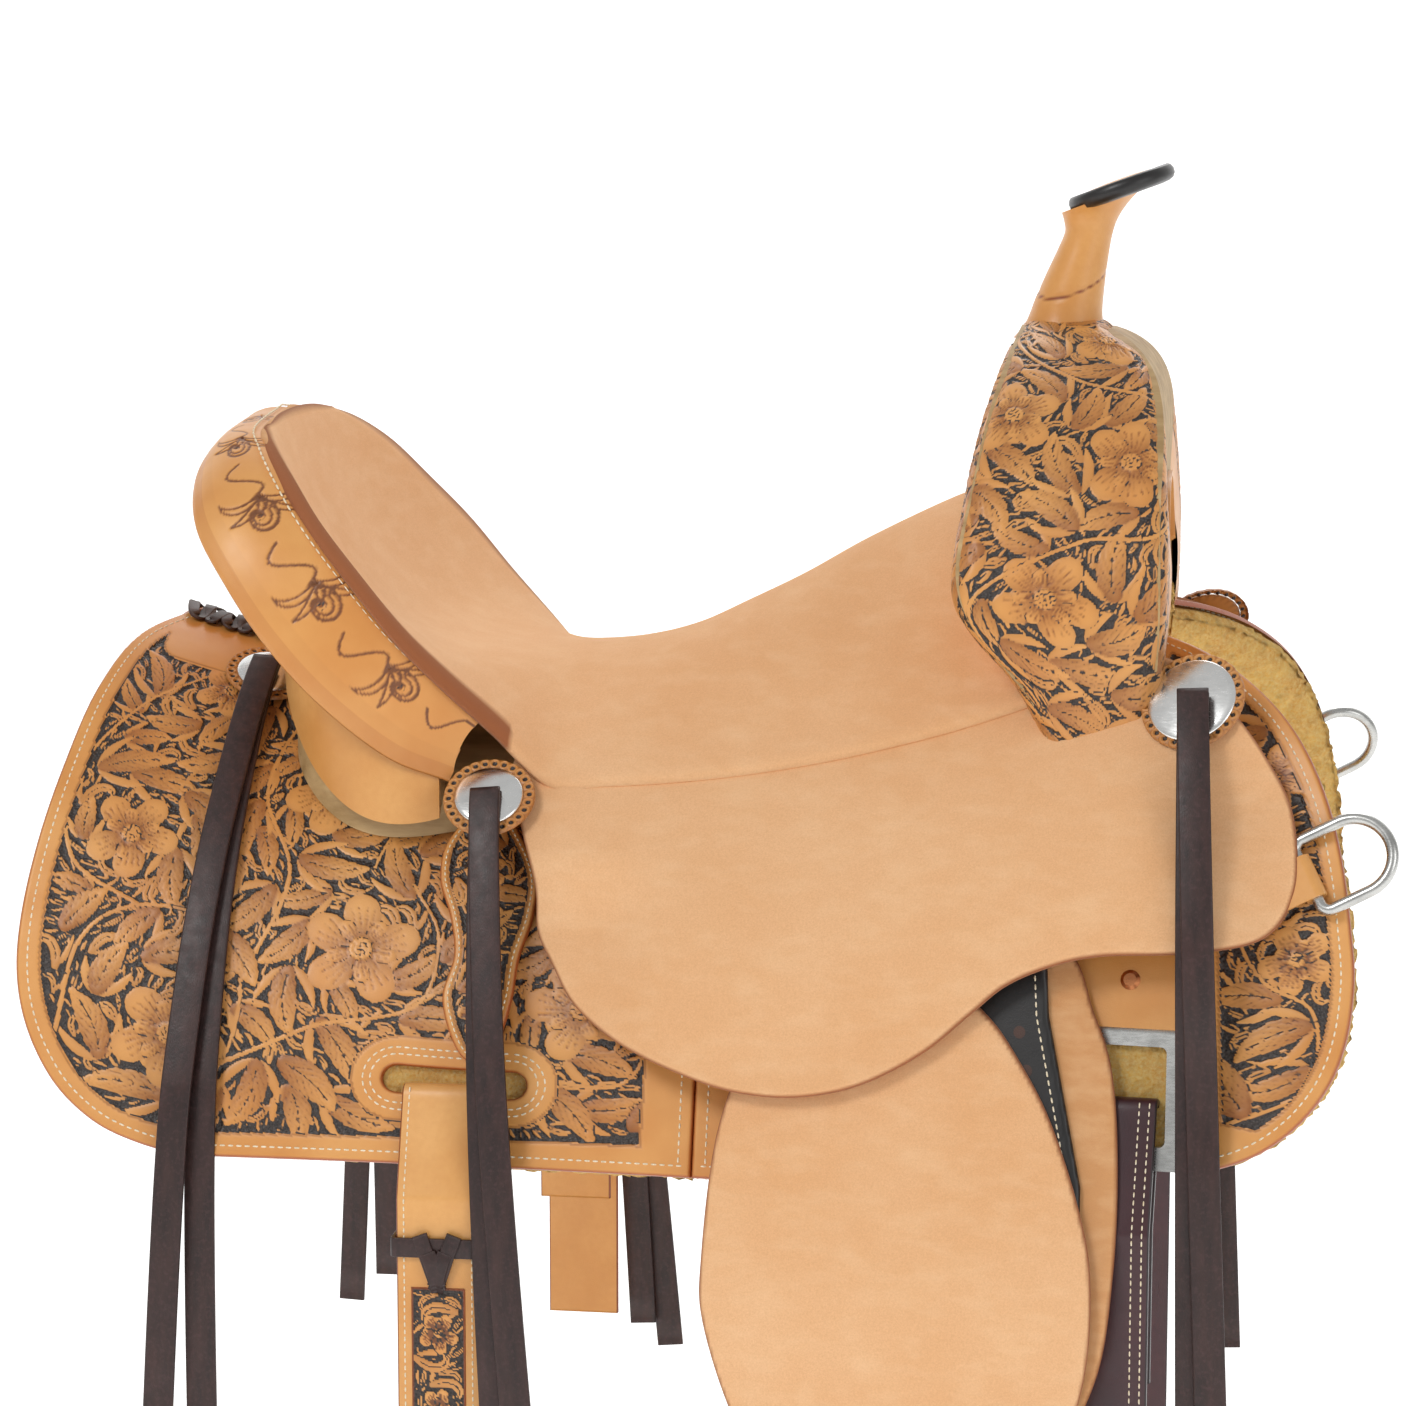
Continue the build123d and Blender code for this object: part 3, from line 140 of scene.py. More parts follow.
# ---------------------------------------------------------------- curves and outlines
def smooth(points, step=3.0, closed=False):
    """Points every step along a Catmull-Rom curve through the given ones."""
    pts = np.asarray(points, float)
    count = len(pts)
    if closed:
        ring = np.vstack([pts[-1], pts, pts[0], pts[1]])
        spans = count
    else:
        ring = np.vstack([2 * pts[0] - pts[1], pts, 2 * pts[-1] - pts[-2]])
        spans = count - 1
    out = []
    for i in range(spans):
        a, b, c, d = ring[i:i + 4]
        steps = max(int(np.linalg.norm(c - b) / step * 2), 3)
        t = np.linspace(0, 1, steps, endpoint=False)[:, None]
        out.append(0.5 * (2 * b + (c - a) * t + (2 * a - 5 * b + 4 * c - d) * t**2 + (3 * b - a - 3 * c + d) * t**3))
    if not closed:
        out.append(pts[-1:])
    return even(np.vstack(out), step, closed)


def even(line, step, closed=False):
    """The same line with points an even step apart."""
    if closed:
        line = np.vstack([line, line[:1]])
    gaps = np.linalg.norm(np.diff(line, axis=0), axis=1)
    run = np.concatenate([[0], np.cumsum(gaps)])
    count = max(int(round(run[-1] / step)), 2)
    at = np.linspace(0, run[-1], count + 1)
    if closed:
        at = at[:-1]
    return np.stack([np.interp(at, run, line[:, k]) for k in range(line.shape[1])], -1)


def ring_of(*lines):
    return np.vstack([np.asarray(line, float) for line in lines])


def polygon_info(points, ring):
    """Whether each point is inside the closed ring, how far from it, and the nearest place on it."""
    a, b = ring, np.roll(ring, -1, axis=0)
    run = b - a
    length2 = (run**2).sum(1) + 1e-12
    inside = np.zeros(len(points), bool)
    dist = np.full(len(points), 1e9)
    near = np.zeros((len(points), 2))
    for low in range(0, len(points), 20000):
        p = points[low:low + 20000]
        rel = p[:, None, :] - a[None]
        t = np.clip((rel * run).sum(2) / length2, 0, 1)
        foot = a[None] + t[..., None] * run[None]
        d2 = ((p[:, None, :] - foot)**2).sum(2)
        best = d2.argmin(1)
        rows = np.arange(len(p))
        dist[low:low + 20000] = np.sqrt(d2[rows, best])
        near[low:low + 20000] = foot[rows, best]
        crosses = (a[None, :, 1] > p[:, None, 1]) != (b[None, :, 1] > p[:, None, 1])
        rise = np.where(np.abs(run[:, 1]) < 1e-9, 1e-9, run[:, 1])
        at = run[None, :, 0] * (p[:, None, 1] - a[None, :, 1]) / rise[None] + a[None, :, 0]
        inside[low:low + 20000] = (crosses & (p[:, None, 0] < at)).sum(1) % 2 == 1
    return inside, dist, near


def grid_panel(rings, step):
    """Quads that fill the first ring and miss the others, with their edge points on the rings."""
    outer = rings[0]
    low, high = outer.min(0) - 2 * step, outer.max(0) + 2 * step
    us, vs = np.arange(low[0], high[0], step), np.arange(low[1], high[1], step)
    grid_u, grid_v = np.meshgrid(us, vs, indexing="ij")
    points = np.stack([grid_u.ravel(), grid_v.ravel()], 1)
    inside, dist, near = polygon_info(points, outer)
    for hole in rings[1:]:
        in_hole, hole_dist, hole_near = polygon_info(points, hole)
        closer = hole_dist < dist
        near = np.where(closer[:, None], hole_near, near)
        dist = np.minimum(dist, hole_dist)
        inside = inside & ~in_hole
    edge = ~inside & (dist < 1.45 * step)
    points = np.where(edge[:, None], near, points)
    dist = np.where(inside, dist, 0.0)
    usable = (inside | edge).reshape(grid_u.shape)
    core = inside.reshape(grid_u.shape)
    number = np.arange(len(points)).reshape(grid_u.shape)
    corners = [(0, 0), (1, 0), (1, 1), (0, 1)]
    n, m = grid_u.shape
    cut = [usable[i:n - 1 + i, j:m - 1 + j] for i, j in corners]
    cores = [core[i:n - 1 + i, j:m - 1 + j] for i, j in corners]
    keep = np.logical_and.reduce(cut) & np.logical_or.reduce(cores)
    quads = np.stack([number[i:n - 1 + i, j:m - 1 + j][keep] for i, j in corners], 1)
    used = np.unique(quads)
    back = np.full(len(points), -1)
    back[used] = np.arange(len(used))
    return points[used], back[quads], dist[used]


def rim_edges(quads):
    """Directed edges that belong to one face only."""
    pairs = np.vstack([quads[:, [i, (i + 1) % 4]] for i in range(4)])
    key = np.sort(pairs, axis=1)
    _, first, counts = np.unique(key, axis=0, return_index=True, return_counts=True)
    return pairs[first[counts == 1]]


# ---------------------------------------------------------------- materials
def linear(code):
    parts = [int(code[i:i + 2], 16) / 255 for i in (0, 2, 4)]
    return [c / 12.92 if c < 0.04045 else ((c + 0.055) / 1.055)**2.4 for c in parts] + [1.0]


class Mat:
    """Small helper that wires one node material."""

    def __init__(self, name, rough=0.5, metal=0.0):
        self.m = bpy.data.materials.new(name)
        self.m.use_nodes = True
        self.t = self.m.node_tree
        self.shader = self.t.nodes["Principled BSDF"]
        self.shader.inputs["Roughness"].default_value = rough
        self.shader.inputs["Metallic"].default_value = metal
        self.coord = self.t.nodes.new("ShaderNodeTexCoord")

    def put(self, socket, value):
        if isinstance(value, bpy.types.NodeSocket):
            self.t.links.new(value, socket)
        else:
            socket.default_value = value

    def attribute(self, name):
        node = self.t.nodes.new("ShaderNodeAttribute")
        node.attribute_name = name
        return node.outputs["Fac"]

    def scaled(self, scale):
        node = self.t.nodes.new("ShaderNodeMapping")
        self.put(node.inputs["Vector"], self.coord.outputs["Object"])
        node.inputs["Scale"].default_value = scale
        return node.outputs["Vector"]

    def noise(self, scale, detail=3.0, rough=0.5, stretch=None):
        node = self.t.nodes.new("ShaderNodeTexNoise")
        self.put(node.inputs["Vector"], self.scaled(stretch or (1, 1, 1)))
        node.inputs["Scale"].default_value = scale
        node.inputs["Detail"].default_value = detail
        node.inputs["Roughness"].default_value = rough
        return node.outputs["Fac"]

    def cells(self, scale, feature="F1"):
        node = self.t.nodes.new("ShaderNodeTexVoronoi")
        node.feature = feature
        self.put(node.inputs["Vector"], self.coord.outputs["Object"])
        node.inputs["Scale"].default_value = scale
        return node.outputs["Distance"]

    def remap(self, value, low, high, to_low=0.0, to_high=1.0):
        node = self.t.nodes.new("ShaderNodeMapRange")
        self.put(node.inputs["Value"], value)
        for key, number in (("From Min", low), ("From Max", high), ("To Min", to_low), ("To Max", to_high)):
            node.inputs[key].default_value = number
        return node.outputs["Result"]

    def math(self, how, a, b):
        node = self.t.nodes.new("ShaderNodeMath")
        node.operation = how
        self.put(node.inputs[0], a)
        self.put(node.inputs[1], b)
        return node.outputs[0]

    def mix(self, fac, a, b, how="MIX"):
        node = self.t.nodes.new("ShaderNodeMix")
        node.data_type = "RGBA"
        node.blend_type = how
        self.put(node.inputs[0], fac)
        self.put(node.inputs[6], a)
        self.put(node.inputs[7], b)
        return node.outputs[2]

    def colour(self, value):
        self.put(self.shader.inputs["Base Color"], value)

    def roughness(self, value):
        self.put(self.shader.inputs["Roughness"], value)

    def bump(self, height, strength, distance=0.001):
        node = self.t.nodes.new("ShaderNodeBump")
        node.inputs["Strength"].default_value = strength
        node.inputs["Distance"].default_value = distance
        self.put(node.inputs["Height"], height)
        if getattr(self, "last_bump", None):
            self.put(node.inputs["Normal"], self.last_bump)
        self.last_bump = node.outputs["Normal"]
        self.put(self.shader.inputs["Normal"], self.last_bump)

    def sheen(self, weight, rough, tint):
        self.shader.inputs["Sheen Weight"].default_value = weight
        self.shader.inputs["Sheen Roughness"].default_value = rough
        self.shader.inputs["Sheen Tint"].default_value = tint


def tooled_leather():
    m = Mat("tooled_leather", 0.42)
    tan_tone = m.mix(m.remap(m.noise(22, 4), 0.3, 0.7), linear("E3A45C"), linear("D48E45"))
    burnt = m.mix(m.remap(m.noise(160, 3), 0.3, 0.7), linear("8E4D20"), linear("74380F"))
    raised = m.mix(m.remap(m.attribute("burn"), 0.0, 1.0, 0.0, 0.9), tan_tone, burnt)
    ground = m.mix(m.remap(m.cells(700), 0.1, 0.6), linear("120E0D"), linear("3A302B"))
    carved = m.mix(m.remap(m.attribute("dye"), 0.35, 0.65), ground, raised)
    edged = m.mix(m.remap(m.attribute("edge"), 0.2, 0.9), carved, linear("A5501E"))
    m.colour(edged)
    m.roughness(m.remap(m.noise(90, 4), 0.2, 0.8, 0.34, 0.52))
    m.bump(m.noise(1400, 3), 0.10, 0.0006)
    m.bump(m.math("MULTIPLY", m.cells(620), m.remap(m.attribute("dye"), 0.3, 0.6, 1.0, 0.0)), 0.5, 0.0012)
    m.shader.inputs["Coat Weight"].default_value = 0.18
    m.shader.inputs["Coat Roughness"].default_value = 0.3
    return m.m


def smooth_leather(name, light, dark, rough=0.38, grain=0.16, edge="8A4318", coat=0.15):
    m = Mat(name, rough)
    tone = m.mix(m.remap(m.noise(14, 5), 0.3, 0.7), linear(light), linear(dark))
    fine = m.mix(m.remap(m.noise(300, 3), 0.35, 0.75, 0.0, 0.25), tone, linear(dark))
    m.colour(m.mix(m.remap(m.attribute("edge"), 0.2, 0.9), fine, linear(edge)))
    m.roughness(m.remap(m.noise(120, 4), 0.2, 0.8, rough - 0.06, rough + 0.12))
    m.bump(m.noise(1500, 4), grain, 0.0007)
    m.bump(m.noise(120, 2), 0.05, 0.002)
    m.shader.inputs["Coat Weight"].default_value = coat
    m.shader.inputs["Coat Roughness"].default_value = 0.3
    return m.m


def suede(name, light, dark, edge):
    m = Mat(name, 0.95)
    tone = m.mix(m.remap(m.noise(9, 5, 0.6), 0.3, 0.7), linear(light), linear(dark))
    nap = m.mix(m.remap(m.noise(1100, 4, 0.7), 0.25, 0.75, 0.0, 0.5), tone, linear("C98F60"))
    brushed = m.mix(m.remap(m.noise(45, 4, 0.6, (1, 1, 2.5)), 0.45, 0.8, 0.0, 0.35), nap, linear("F6CFA2"))
    m.colour(m.mix(m.remap(m.attribute("edge"), 0.15, 0.9), brushed, linear(edge)))
    m.bump(m.noise(2200, 4, 0.7), 0.35, 0.0008)
    m.bump(m.noise(260, 3, 0.6), 0.12, 0.0012)
    m.sheen(0.25, 0.5, linear("FFE2C0"))
    return m.m


def string_leather():
    m = Mat("string_leather", 0.42)
    tone = m.mix(m.remap(m.noise(60, 4, 0.5, (3, 3, 0.5)), 0.3, 0.7), linear("3C2521"), linear("261715"))
    m.colour(m.mix(m.remap(m.noise(500, 2), 0.5, 0.8, 0, 0.35), tone, linear("5A3A3C")))
    m.roughness(m.remap(m.noise(150, 3), 0.2, 0.8, 0.34, 0.55))
    m.bump(m.noise(900, 3, 0.5, (2, 2, 0.6)), 0.2, 0.0006)
    return m.m


def fleece():
    m = Mat("fleece", 1.0)
    tone = m.mix(m.remap(m.noise(70, 5, 0.6), 0.3, 0.7), linear("FFC95A"), linear("E3992E"))
    m.colour(m.mix(m.remap(m.noise(600, 4, 0.7), 0.3, 0.75), tone, linear("FFE09A")))
    m.bump(m.noise(700, 5, 0.8), 0.8, 0.003)
    m.bump(m.cells(180), 0.6, 0.004)
    m.sheen(0.15, 0.4, linear("FFE9A8"))
    return m.m


def metal(name, tone, rough, scratch=0.06, dark="6E6E6C"):
    m = Mat(name, rough, 1.0)
    m.colour(m.mix(m.remap(m.noise(60, 4), 0.45, 0.8, 0.0, 0.5), linear(tone), linear(dark)))
    m.roughness(m.remap(m.noise(220, 4, 0.6, (1, 1, 6)), 0.2, 0.8, rough - 0.06, rough + 0.12))
    m.bump(m.noise(800, 3, 0.5, (1, 1, 8)), scratch, 0.0003)
    return m.m


def wood():
    m = Mat("tree_rawhide", 0.6)
    m.colour(m.mix(m.remap(m.noise(30, 5, 0.6, (0.4, 3, 3)), 0.3, 0.7), linear("C7A878"), linear("9A7A4C")))
    m.bump(m.noise(200, 4, 0.6, (0.4, 3, 3)), 0.2, 0.001)
    return m.m


def thread():
    m = Mat("thread", 0.7)
    m.colour(m.mix(m.remap(m.noise(900, 2), 0.3, 0.7), linear("FFF4DC"), linear("E2CFA8")))
    m.bump(m.noise(2500, 2, 0.5, (1, 1, 1)), 0.4, 0.0004)
    return m.m


TOOLED = tooled_leather()
TAN = smooth_leather("tan_leather", "E6AC66", "CF8C45", 0.34)
DARK = smooth_leather("dark_leather", "4A2E22", "2E1B14", 0.45, 0.25, "20120C")
BLACK = smooth_leather("black_leather", "1D1A19", "0E0C0C", 0.36, 0.2, "080707", 0.25)
WINE = smooth_leather("burgundy_leather", "4A2127", "30141A", 0.36, 0.2, "1E0B0F", 0.25)
SUEDE = suede("roughout", "F5C595", "EBB37E", "9C5C36")
BACKED = suede("flesh_side", "DDA56F", "CF955F", "8A4C26")
STRING = string_leather()
WOOL = fleece()
STEEL = metal("steel", "C9C9C6", 0.24)
SILVER = metal("silver", "F2F2F0", 0.2, 0.04, "B8B8B6")
COPPER = metal("copper", "D08A5C", 0.28, 0.05, "8A4E2C")
WOOD = wood()
THREAD = thread()
FELT = smooth_leather("felt", "A09A90", "7C766C", 0.9, 0.6, "6A645A", 0.0)


# ---------------------------------------------------------------- mesh making
def face_list(faces):
    """One flat list of faces from arrays of quads or plain tuples."""
    if not isinstance(faces, list):
        return np.asarray(faces).tolist()
    out = []
    for part in faces:
        out += part.tolist() if isinstance(part, np.ndarray) else [part]
    return out


def make(name, verts, faces, mat, body, replaces=(), attrs=None, smooth_faces=True):
    """Mesh object from millimetre points."""
    data = bpy.data.meshes.new(name)
    data.from_pydata((np.asarray(verts, float) * MM).tolist(), [], face_list(faces))
    data.validate()
    for key, values in (attrs or {}).items():
        layer = data.attributes.new(key, "FLOAT", "POINT")
        layer.data.foreach_set("value", np.asarray(values, np.float32))
    if smooth_faces:
        data.polygons.foreach_set("use_smooth", np.ones(len(data.polygons), bool))
    data.materials.append(mat)
    obj = bpy.data.objects.new(name, data)
    bpy.context.scene.collection.objects.link(obj)
    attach(obj, body)
    if replaces:
        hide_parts(*replaces)
    return obj


def mirrored(verts):
    return np.asarray(verts) * [1, -1, 1]


def make_pair(name, verts, faces, mat, body, node=None, attrs=None):
    """A right-hand piece and its mirror image, on bodies and nodes named with _right and _left."""
    faces = faces if isinstance(faces, list) else [faces]
    for side in ("right", "left"):
        on = body if body == "saddle" else body + "_" + side
        stands = [node + "_" + side] if node else ()
        points = verts if side == "right" else mirrored(verts)
        turned = [np.asarray(f)[:, ::-1] if side == "left" else f for f in faces]
        make(name + "_" + side, points, turned, mat, on, stands, attrs)


def make_both(name, verts, faces, mat, body, stands=(), attrs=None):
    """Right and left halves in one object."""
    faces = faces if isinstance(faces, list) else [faces]
    count = len(verts)
    points = np.vstack([verts, mirrored(verts)])
    turned = list(faces) + [np.asarray(f)[:, ::-1] + count for f in faces]
    doubled = {k: np.tile(v, 2) for k, v in (attrs or {}).items()}
    return make(name, points, turned, mat, body, stands, doubled)


def leather_panel(rings, step, place, top, thickness, height=None, attrs=None, back=False, round_r=1.6):
    """Points, faces and attributes of a panel with rounded edges on a surface given by place(p, off)."""
    points, quads, dist = grid_panel(rings, step)
    rise = np.zeros(len(points)) if height is None else height(points, dist)
    near = np.clip(1 - dist / round_r, 0, 1)
    rise = rise - round_r * (1 - np.sqrt(np.maximum(1 - near**2, 0)))
    verts = [place(points, top + rise)]
    values = {"edge": np.clip(1 - dist / 1.8, 0, 1)}
    for key, call in (attrs or {}).items():
        values[key] = call(points, dist)
    faces = [quads]
    rim = rim_edges(quads)
    ids = np.unique(rim)
    spot = np.full(len(points), -1)
    spot[ids] = np.arange(len(ids))
    low = place(points[ids], np.full(len(ids), top - thickness))
    base = len(points)
    verts.append(low)
    faces.append(np.stack([rim[:, 1], rim[:, 0], base + spot[rim[:, 0]], base + spot[rim[:, 1]]], 1))
    for key in values:
        fill = np.ones(len(ids)) if key == "edge" else values[key][ids]
        values[key] = np.concatenate([values[key], fill])
    if back:
        base2 = base + len(ids)
        verts.append(place(points, np.full(len(points), top - thickness)))
        faces.append(quads[:, ::-1] + base2)
        for key in values:
            values[key] = np.concatenate([values[key], values[key][:len(points)]])
    return np.vstack(verts), faces, values


def on_side(points, off):
    return shell(points[:, 0], points[:, 1], off)


def stitches(name, lines, normals, body, pitch=4.3, length=3.1, r=0.5, both=True, mat=None, pair=False):
    """Row of short thread stitches along each line, half sunk in the leather."""
    ring = np.array([(cos(a), sin(a)) for a in np.linspace(0, 2 * pi, 6, endpoint=False)])
    along = np.array([-0.5, -0.36, 0, 0.36, 0.5]) * length
    size = np.array([0.25, 0.85, 1.0, 0.85, 0.25]) * r
    dip = np.array([-0.55, -0.1, 0.12, -0.1, -0.55]) * r
    quads = []
    for i in range(4):
        for j in range(6):
            quads.append((i * 6 + j, i * 6 + (j + 1) % 6, (i + 1) * 6 + (j + 1) % 6, (i + 1) * 6 + j))
    quads = np.array(quads)
    all_v, all_f = [], []
    for line, normal in zip(lines, normals):
        gaps = np.linalg.norm(np.diff(line, axis=0), axis=1)
        run = np.concatenate([[0], np.cumsum(gaps)])
        at = np.arange(pitch / 2, run[-1], pitch)
        mid = np.stack([np.interp(at, run, line[:, k]) for k in range(3)], -1)
        ahead = np.stack([np.interp(at + 0.5, run, line[:, k]) - np.interp(at - 0.5, run, line[:, k]) for k in range(3)], -1)
        ahead /= np.linalg.norm(ahead, axis=1)[:, None] + 1e-9
        up = np.stack([np.interp(at, run, normal[:, k]) for k in range(3)], -1)
        up /= np.linalg.norm(up, axis=1)[:, None]
        across = np.cross(up, ahead)
        for c, a, n, w in zip(mid, ahead, up, across):
            rows = [c + a * along[i] + n * dip[i] + size[i] * (ring[:, :1] * w + ring[:, 1:] * n) for i in range(5)]
            all_f.append(quads + len(all_v) * 30)
            all_v.append(np.vstack(rows))
    if not all_v:
        return
    verts, faces = np.vstack(all_v), np.vstack(all_f)
    if pair:
        make_pair(name, verts, faces, mat or THREAD, body)
    elif both:
        make_both(name, verts, faces, mat or THREAD, body)
    else:
        make(name, verts, faces, mat or THREAD, body)


# ---------------------------------------------------------------- camera, light and floor
def set_camera():
    data = bpy.data.cameras.new("camera")
    data.sensor_width = 36.0
    data.lens = 102.4
    obj = bpy.data.objects.new("camera", data)
    bpy.context.scene.collection.objects.link(obj)
    turn, rise = radians(8), radians(8)
    away = Vector((sin(turn) * cos(rise), -cos(turn) * cos(rise), sin(rise)))
    obj.location = Vector((0.0115, 0, 0.004)) + away * 2.2
    obj.rotation_euler = (-away).to_track_quat("-Z", "Y").to_euler()
    bpy.context.scene.camera = obj


def area_light(name, place, aim, size, power, tint=(1, 1, 1)):
    data = bpy.data.lights.new(name, "AREA")
    data.shape = "DISK"
    data.size = size
    data.energy = power
    data.color = tint
    obj = bpy.data.objects.new(name, data)
    obj.location = place
    obj.rotation_euler = (Vector(aim) - Vector(place)).to_track_quat("-Z", "Y").to_euler()
    bpy.context.scene.collection.objects.link(obj)


def set_stage():
    profile = [(-9.0, -0.75), (2.2, -0.75)]
    profile += [(2.2 + 2.0 * sin(t), 1.25 - 2.0 * cos(t)) for t in np.linspace(0.05, pi / 2, 24)]
    profile += [(4.2, 7.0)]
    verts = [(x, y, z) for y, z in profile for x in (-9.0, 9.0)]
    faces = [(2 * i, 2 * i + 1, 2 * i + 3, 2 * i + 2) for i in range(len(profile) - 1)]
    floor = bpy.data.meshes.new("backdrop")
    floor.from_pydata(verts, [], faces)
    floor.polygons.foreach_set("use_smooth", np.ones(len(faces), bool))
    m = Mat("backdrop", 0.9)
    m.colour(m.mix(m.noise(3, 2), linear("FCFCFB"), linear("FFFFFE")))
    m.shader.inputs["Emission Color"].default_value = (1, 1, 1, 1)
    m.shader.inputs["Emission Strength"].default_value = 0.42
    floor.materials.append(m.m)
    obj = bpy.data.objects.new("backdrop", floor)
    bpy.context.scene.collection.objects.link(obj)
    world = bpy.data.worlds.new("studio")
    world.use_nodes = True
    world.node_tree.nodes["Background"].inputs["Color"].default_value = (1, 1, 1, 1)
    world.node_tree.nodes["Background"].inputs["Strength"].default_value = 0.5
    bpy.context.scene.world = world
    bpy.context.scene.view_settings.view_transform = "Standard"
    area_light("key", (-1.3, -2.4, 2.2), (0, 0, 0), 1.0, 36)
    area_light("fill", (2.4, -2.0, 0.7), (0, 0, 0), 1.6, 11)
    area_light("back", (0.3, 2.4, 2.4), (0, 0, 0.1), 1.6, 22)


# ---------------------------------------------------------------- hanging strings
STRING_RESTS = {
    "mid": [(-208, 17)],
    "front": [(-26, JOCKEY_TOP + 6), (-86, JOCKEY_TOP + 3), (-150, 10), (-214, 1.5)],
    "rear": [(-32, 3), (-70, 3), (-120, 3), (-208, 3.5)],
}
STRING_PAIRS = {
    "mid": [(3.0, 0, -420), (5.2, 1, -436)],
    "front": [(1.0, 0, -400), (2.6, 1, -424)],
    "rear": [(0.4, 0, -392), (-3.0, 1, -412)],
}
OUTER_STEP = {"mid": 4.4, "front": 4.2, "rear": 7.5}
ON_CONCHO = {"mid": 2.4, "front": 5.5, "rear": 4.5}


def slope_at(x, z, off):
    u, s = on_shell(x, z, off)
    return CREST + min(s, ROUND_RUN) / SECTION_R


def string_route(key, order, end_z):
    """Corner points of one string, out from and up from the foot of its concho."""
    x, z, offset, _, outer = CONCHOS[key]
    foot = side_y(x, z)
    slope = slope_at(x, z, offset)
    middle = side_y(x, z, offset) - foot
    height = 4.7 + ON_CONCHO[key] + order * 3.6
    points = []
    for down in (1.0, outer + 3.0):
        points.append((middle + height * sin(slope) + down * cos(slope), height * cos(slope) - down * sin(slope)))
    for rest_z, rest_off in STRING_RESTS[key]:
        points.append((side_y(x, rest_z, rest_off) - foot + 2.2 + order * OUTER_STEP[key], rest_z - z))
    points.append((points[-1][0] + 0.5, end_z - z))
    return points


def string_curve(name, corners):
    data = bpy.data.curves.new(name, "CURVE")
    data.dimensions = "3D"
    data.resolution_u = 16
    spline = data.splines.new("NURBS")
    spline.points.add(len(corners) - 1)
    for point, corner in zip(spline.points, corners):
        point.co = (*corner, 1.0)
    spline.order_u = 3
    spline.use_endpoint_u = True
    obj = bpy.data.objects.new(name, data)
    bpy.context.scene.collection.objects.link(obj)
    mesh = bpy.data.meshes.new_from_object(obj)
    line = np.array([v.co[:] for v in mesh.vertices])
    bpy.data.objects.remove(obj)
    bpy.data.meshes.remove(mesh)
    return line


STRAP_RING = [
    (-1, -0.5), (-0.97, -0.85), (-0.88, -1), (0, -1), (0.88, -1), (0.97, -0.85), (1, -0.5), (1, 0.5),
    (0.97, 0.85), (0.88, 1), (0, 1), (-0.88, 1), (-0.97, 0.85), (-1, 0.5),
]


def flat_tube(line, wide, half_w, half_t, taper=12.0):
    """Rounded flat strip along a line, its width along wide; all in one unit."""
    ahead = np.gradient(line, axis=0)
    ahead /= np.linalg.norm(ahead, axis=1)[:, None]
    wide = np.asarray(wide, float)
    across = wide - (ahead @ wide)[:, None] * ahead
    across /= np.linalg.norm(across, axis=1)[:, None]
    up = np.cross(across, ahead)
    ring = np.array(STRAP_RING)
    verts = (line[:, None, :] + across[:, None, :] * ring[None, :, :1] * half_w
             + up[:, None, :] * ring[None, :, 1:] * half_t)
    n, k = len(line), len(ring)
    quads = [(i * k + j, i * k + (j + 1) % k, (i + 1) * k + (j + 1) % k, (i + 1) * k + j)
             for i in range(n - 1) for j in range(k)]
    ends = [tuple(range(k))[::-1], tuple(range((n - 1) * k, n * k))]
    return verts.reshape(-1, 3), quads, ends


def add_strings():
    for side_name, side in (("right", -1), ("left", 1)):
        for key, pair in STRING_PAIRS.items():
            x, z, _, _, _ = CONCHOS[key]
            foot = side_y(x, z)
            for drift, order, end_z in pair:
                tip = radians(drift)
                corners = []
                for out, up in string_route(key, order, end_z):
                    # the string's own plane leans forward by the drift angle
                    corners.append(np.array([x - up * sin(tip), side * (foot + out), z + up * cos(tip)]) * MM)
                line = string_curve("route", corners)
                wide = (cos(tip), 0, sin(tip))
                verts, quads, ends = flat_tube(line, wide, 0.0079, 0.0014)
                name = "string_" + key + "_" + "ab"[order] + "_" + side_name
                obj = make(name, verts / MM, quads + ends, STRING, "saddle",
                           ["strings_" + key + "_" + side_name])


set_camera()
set_stage()
add_strings()


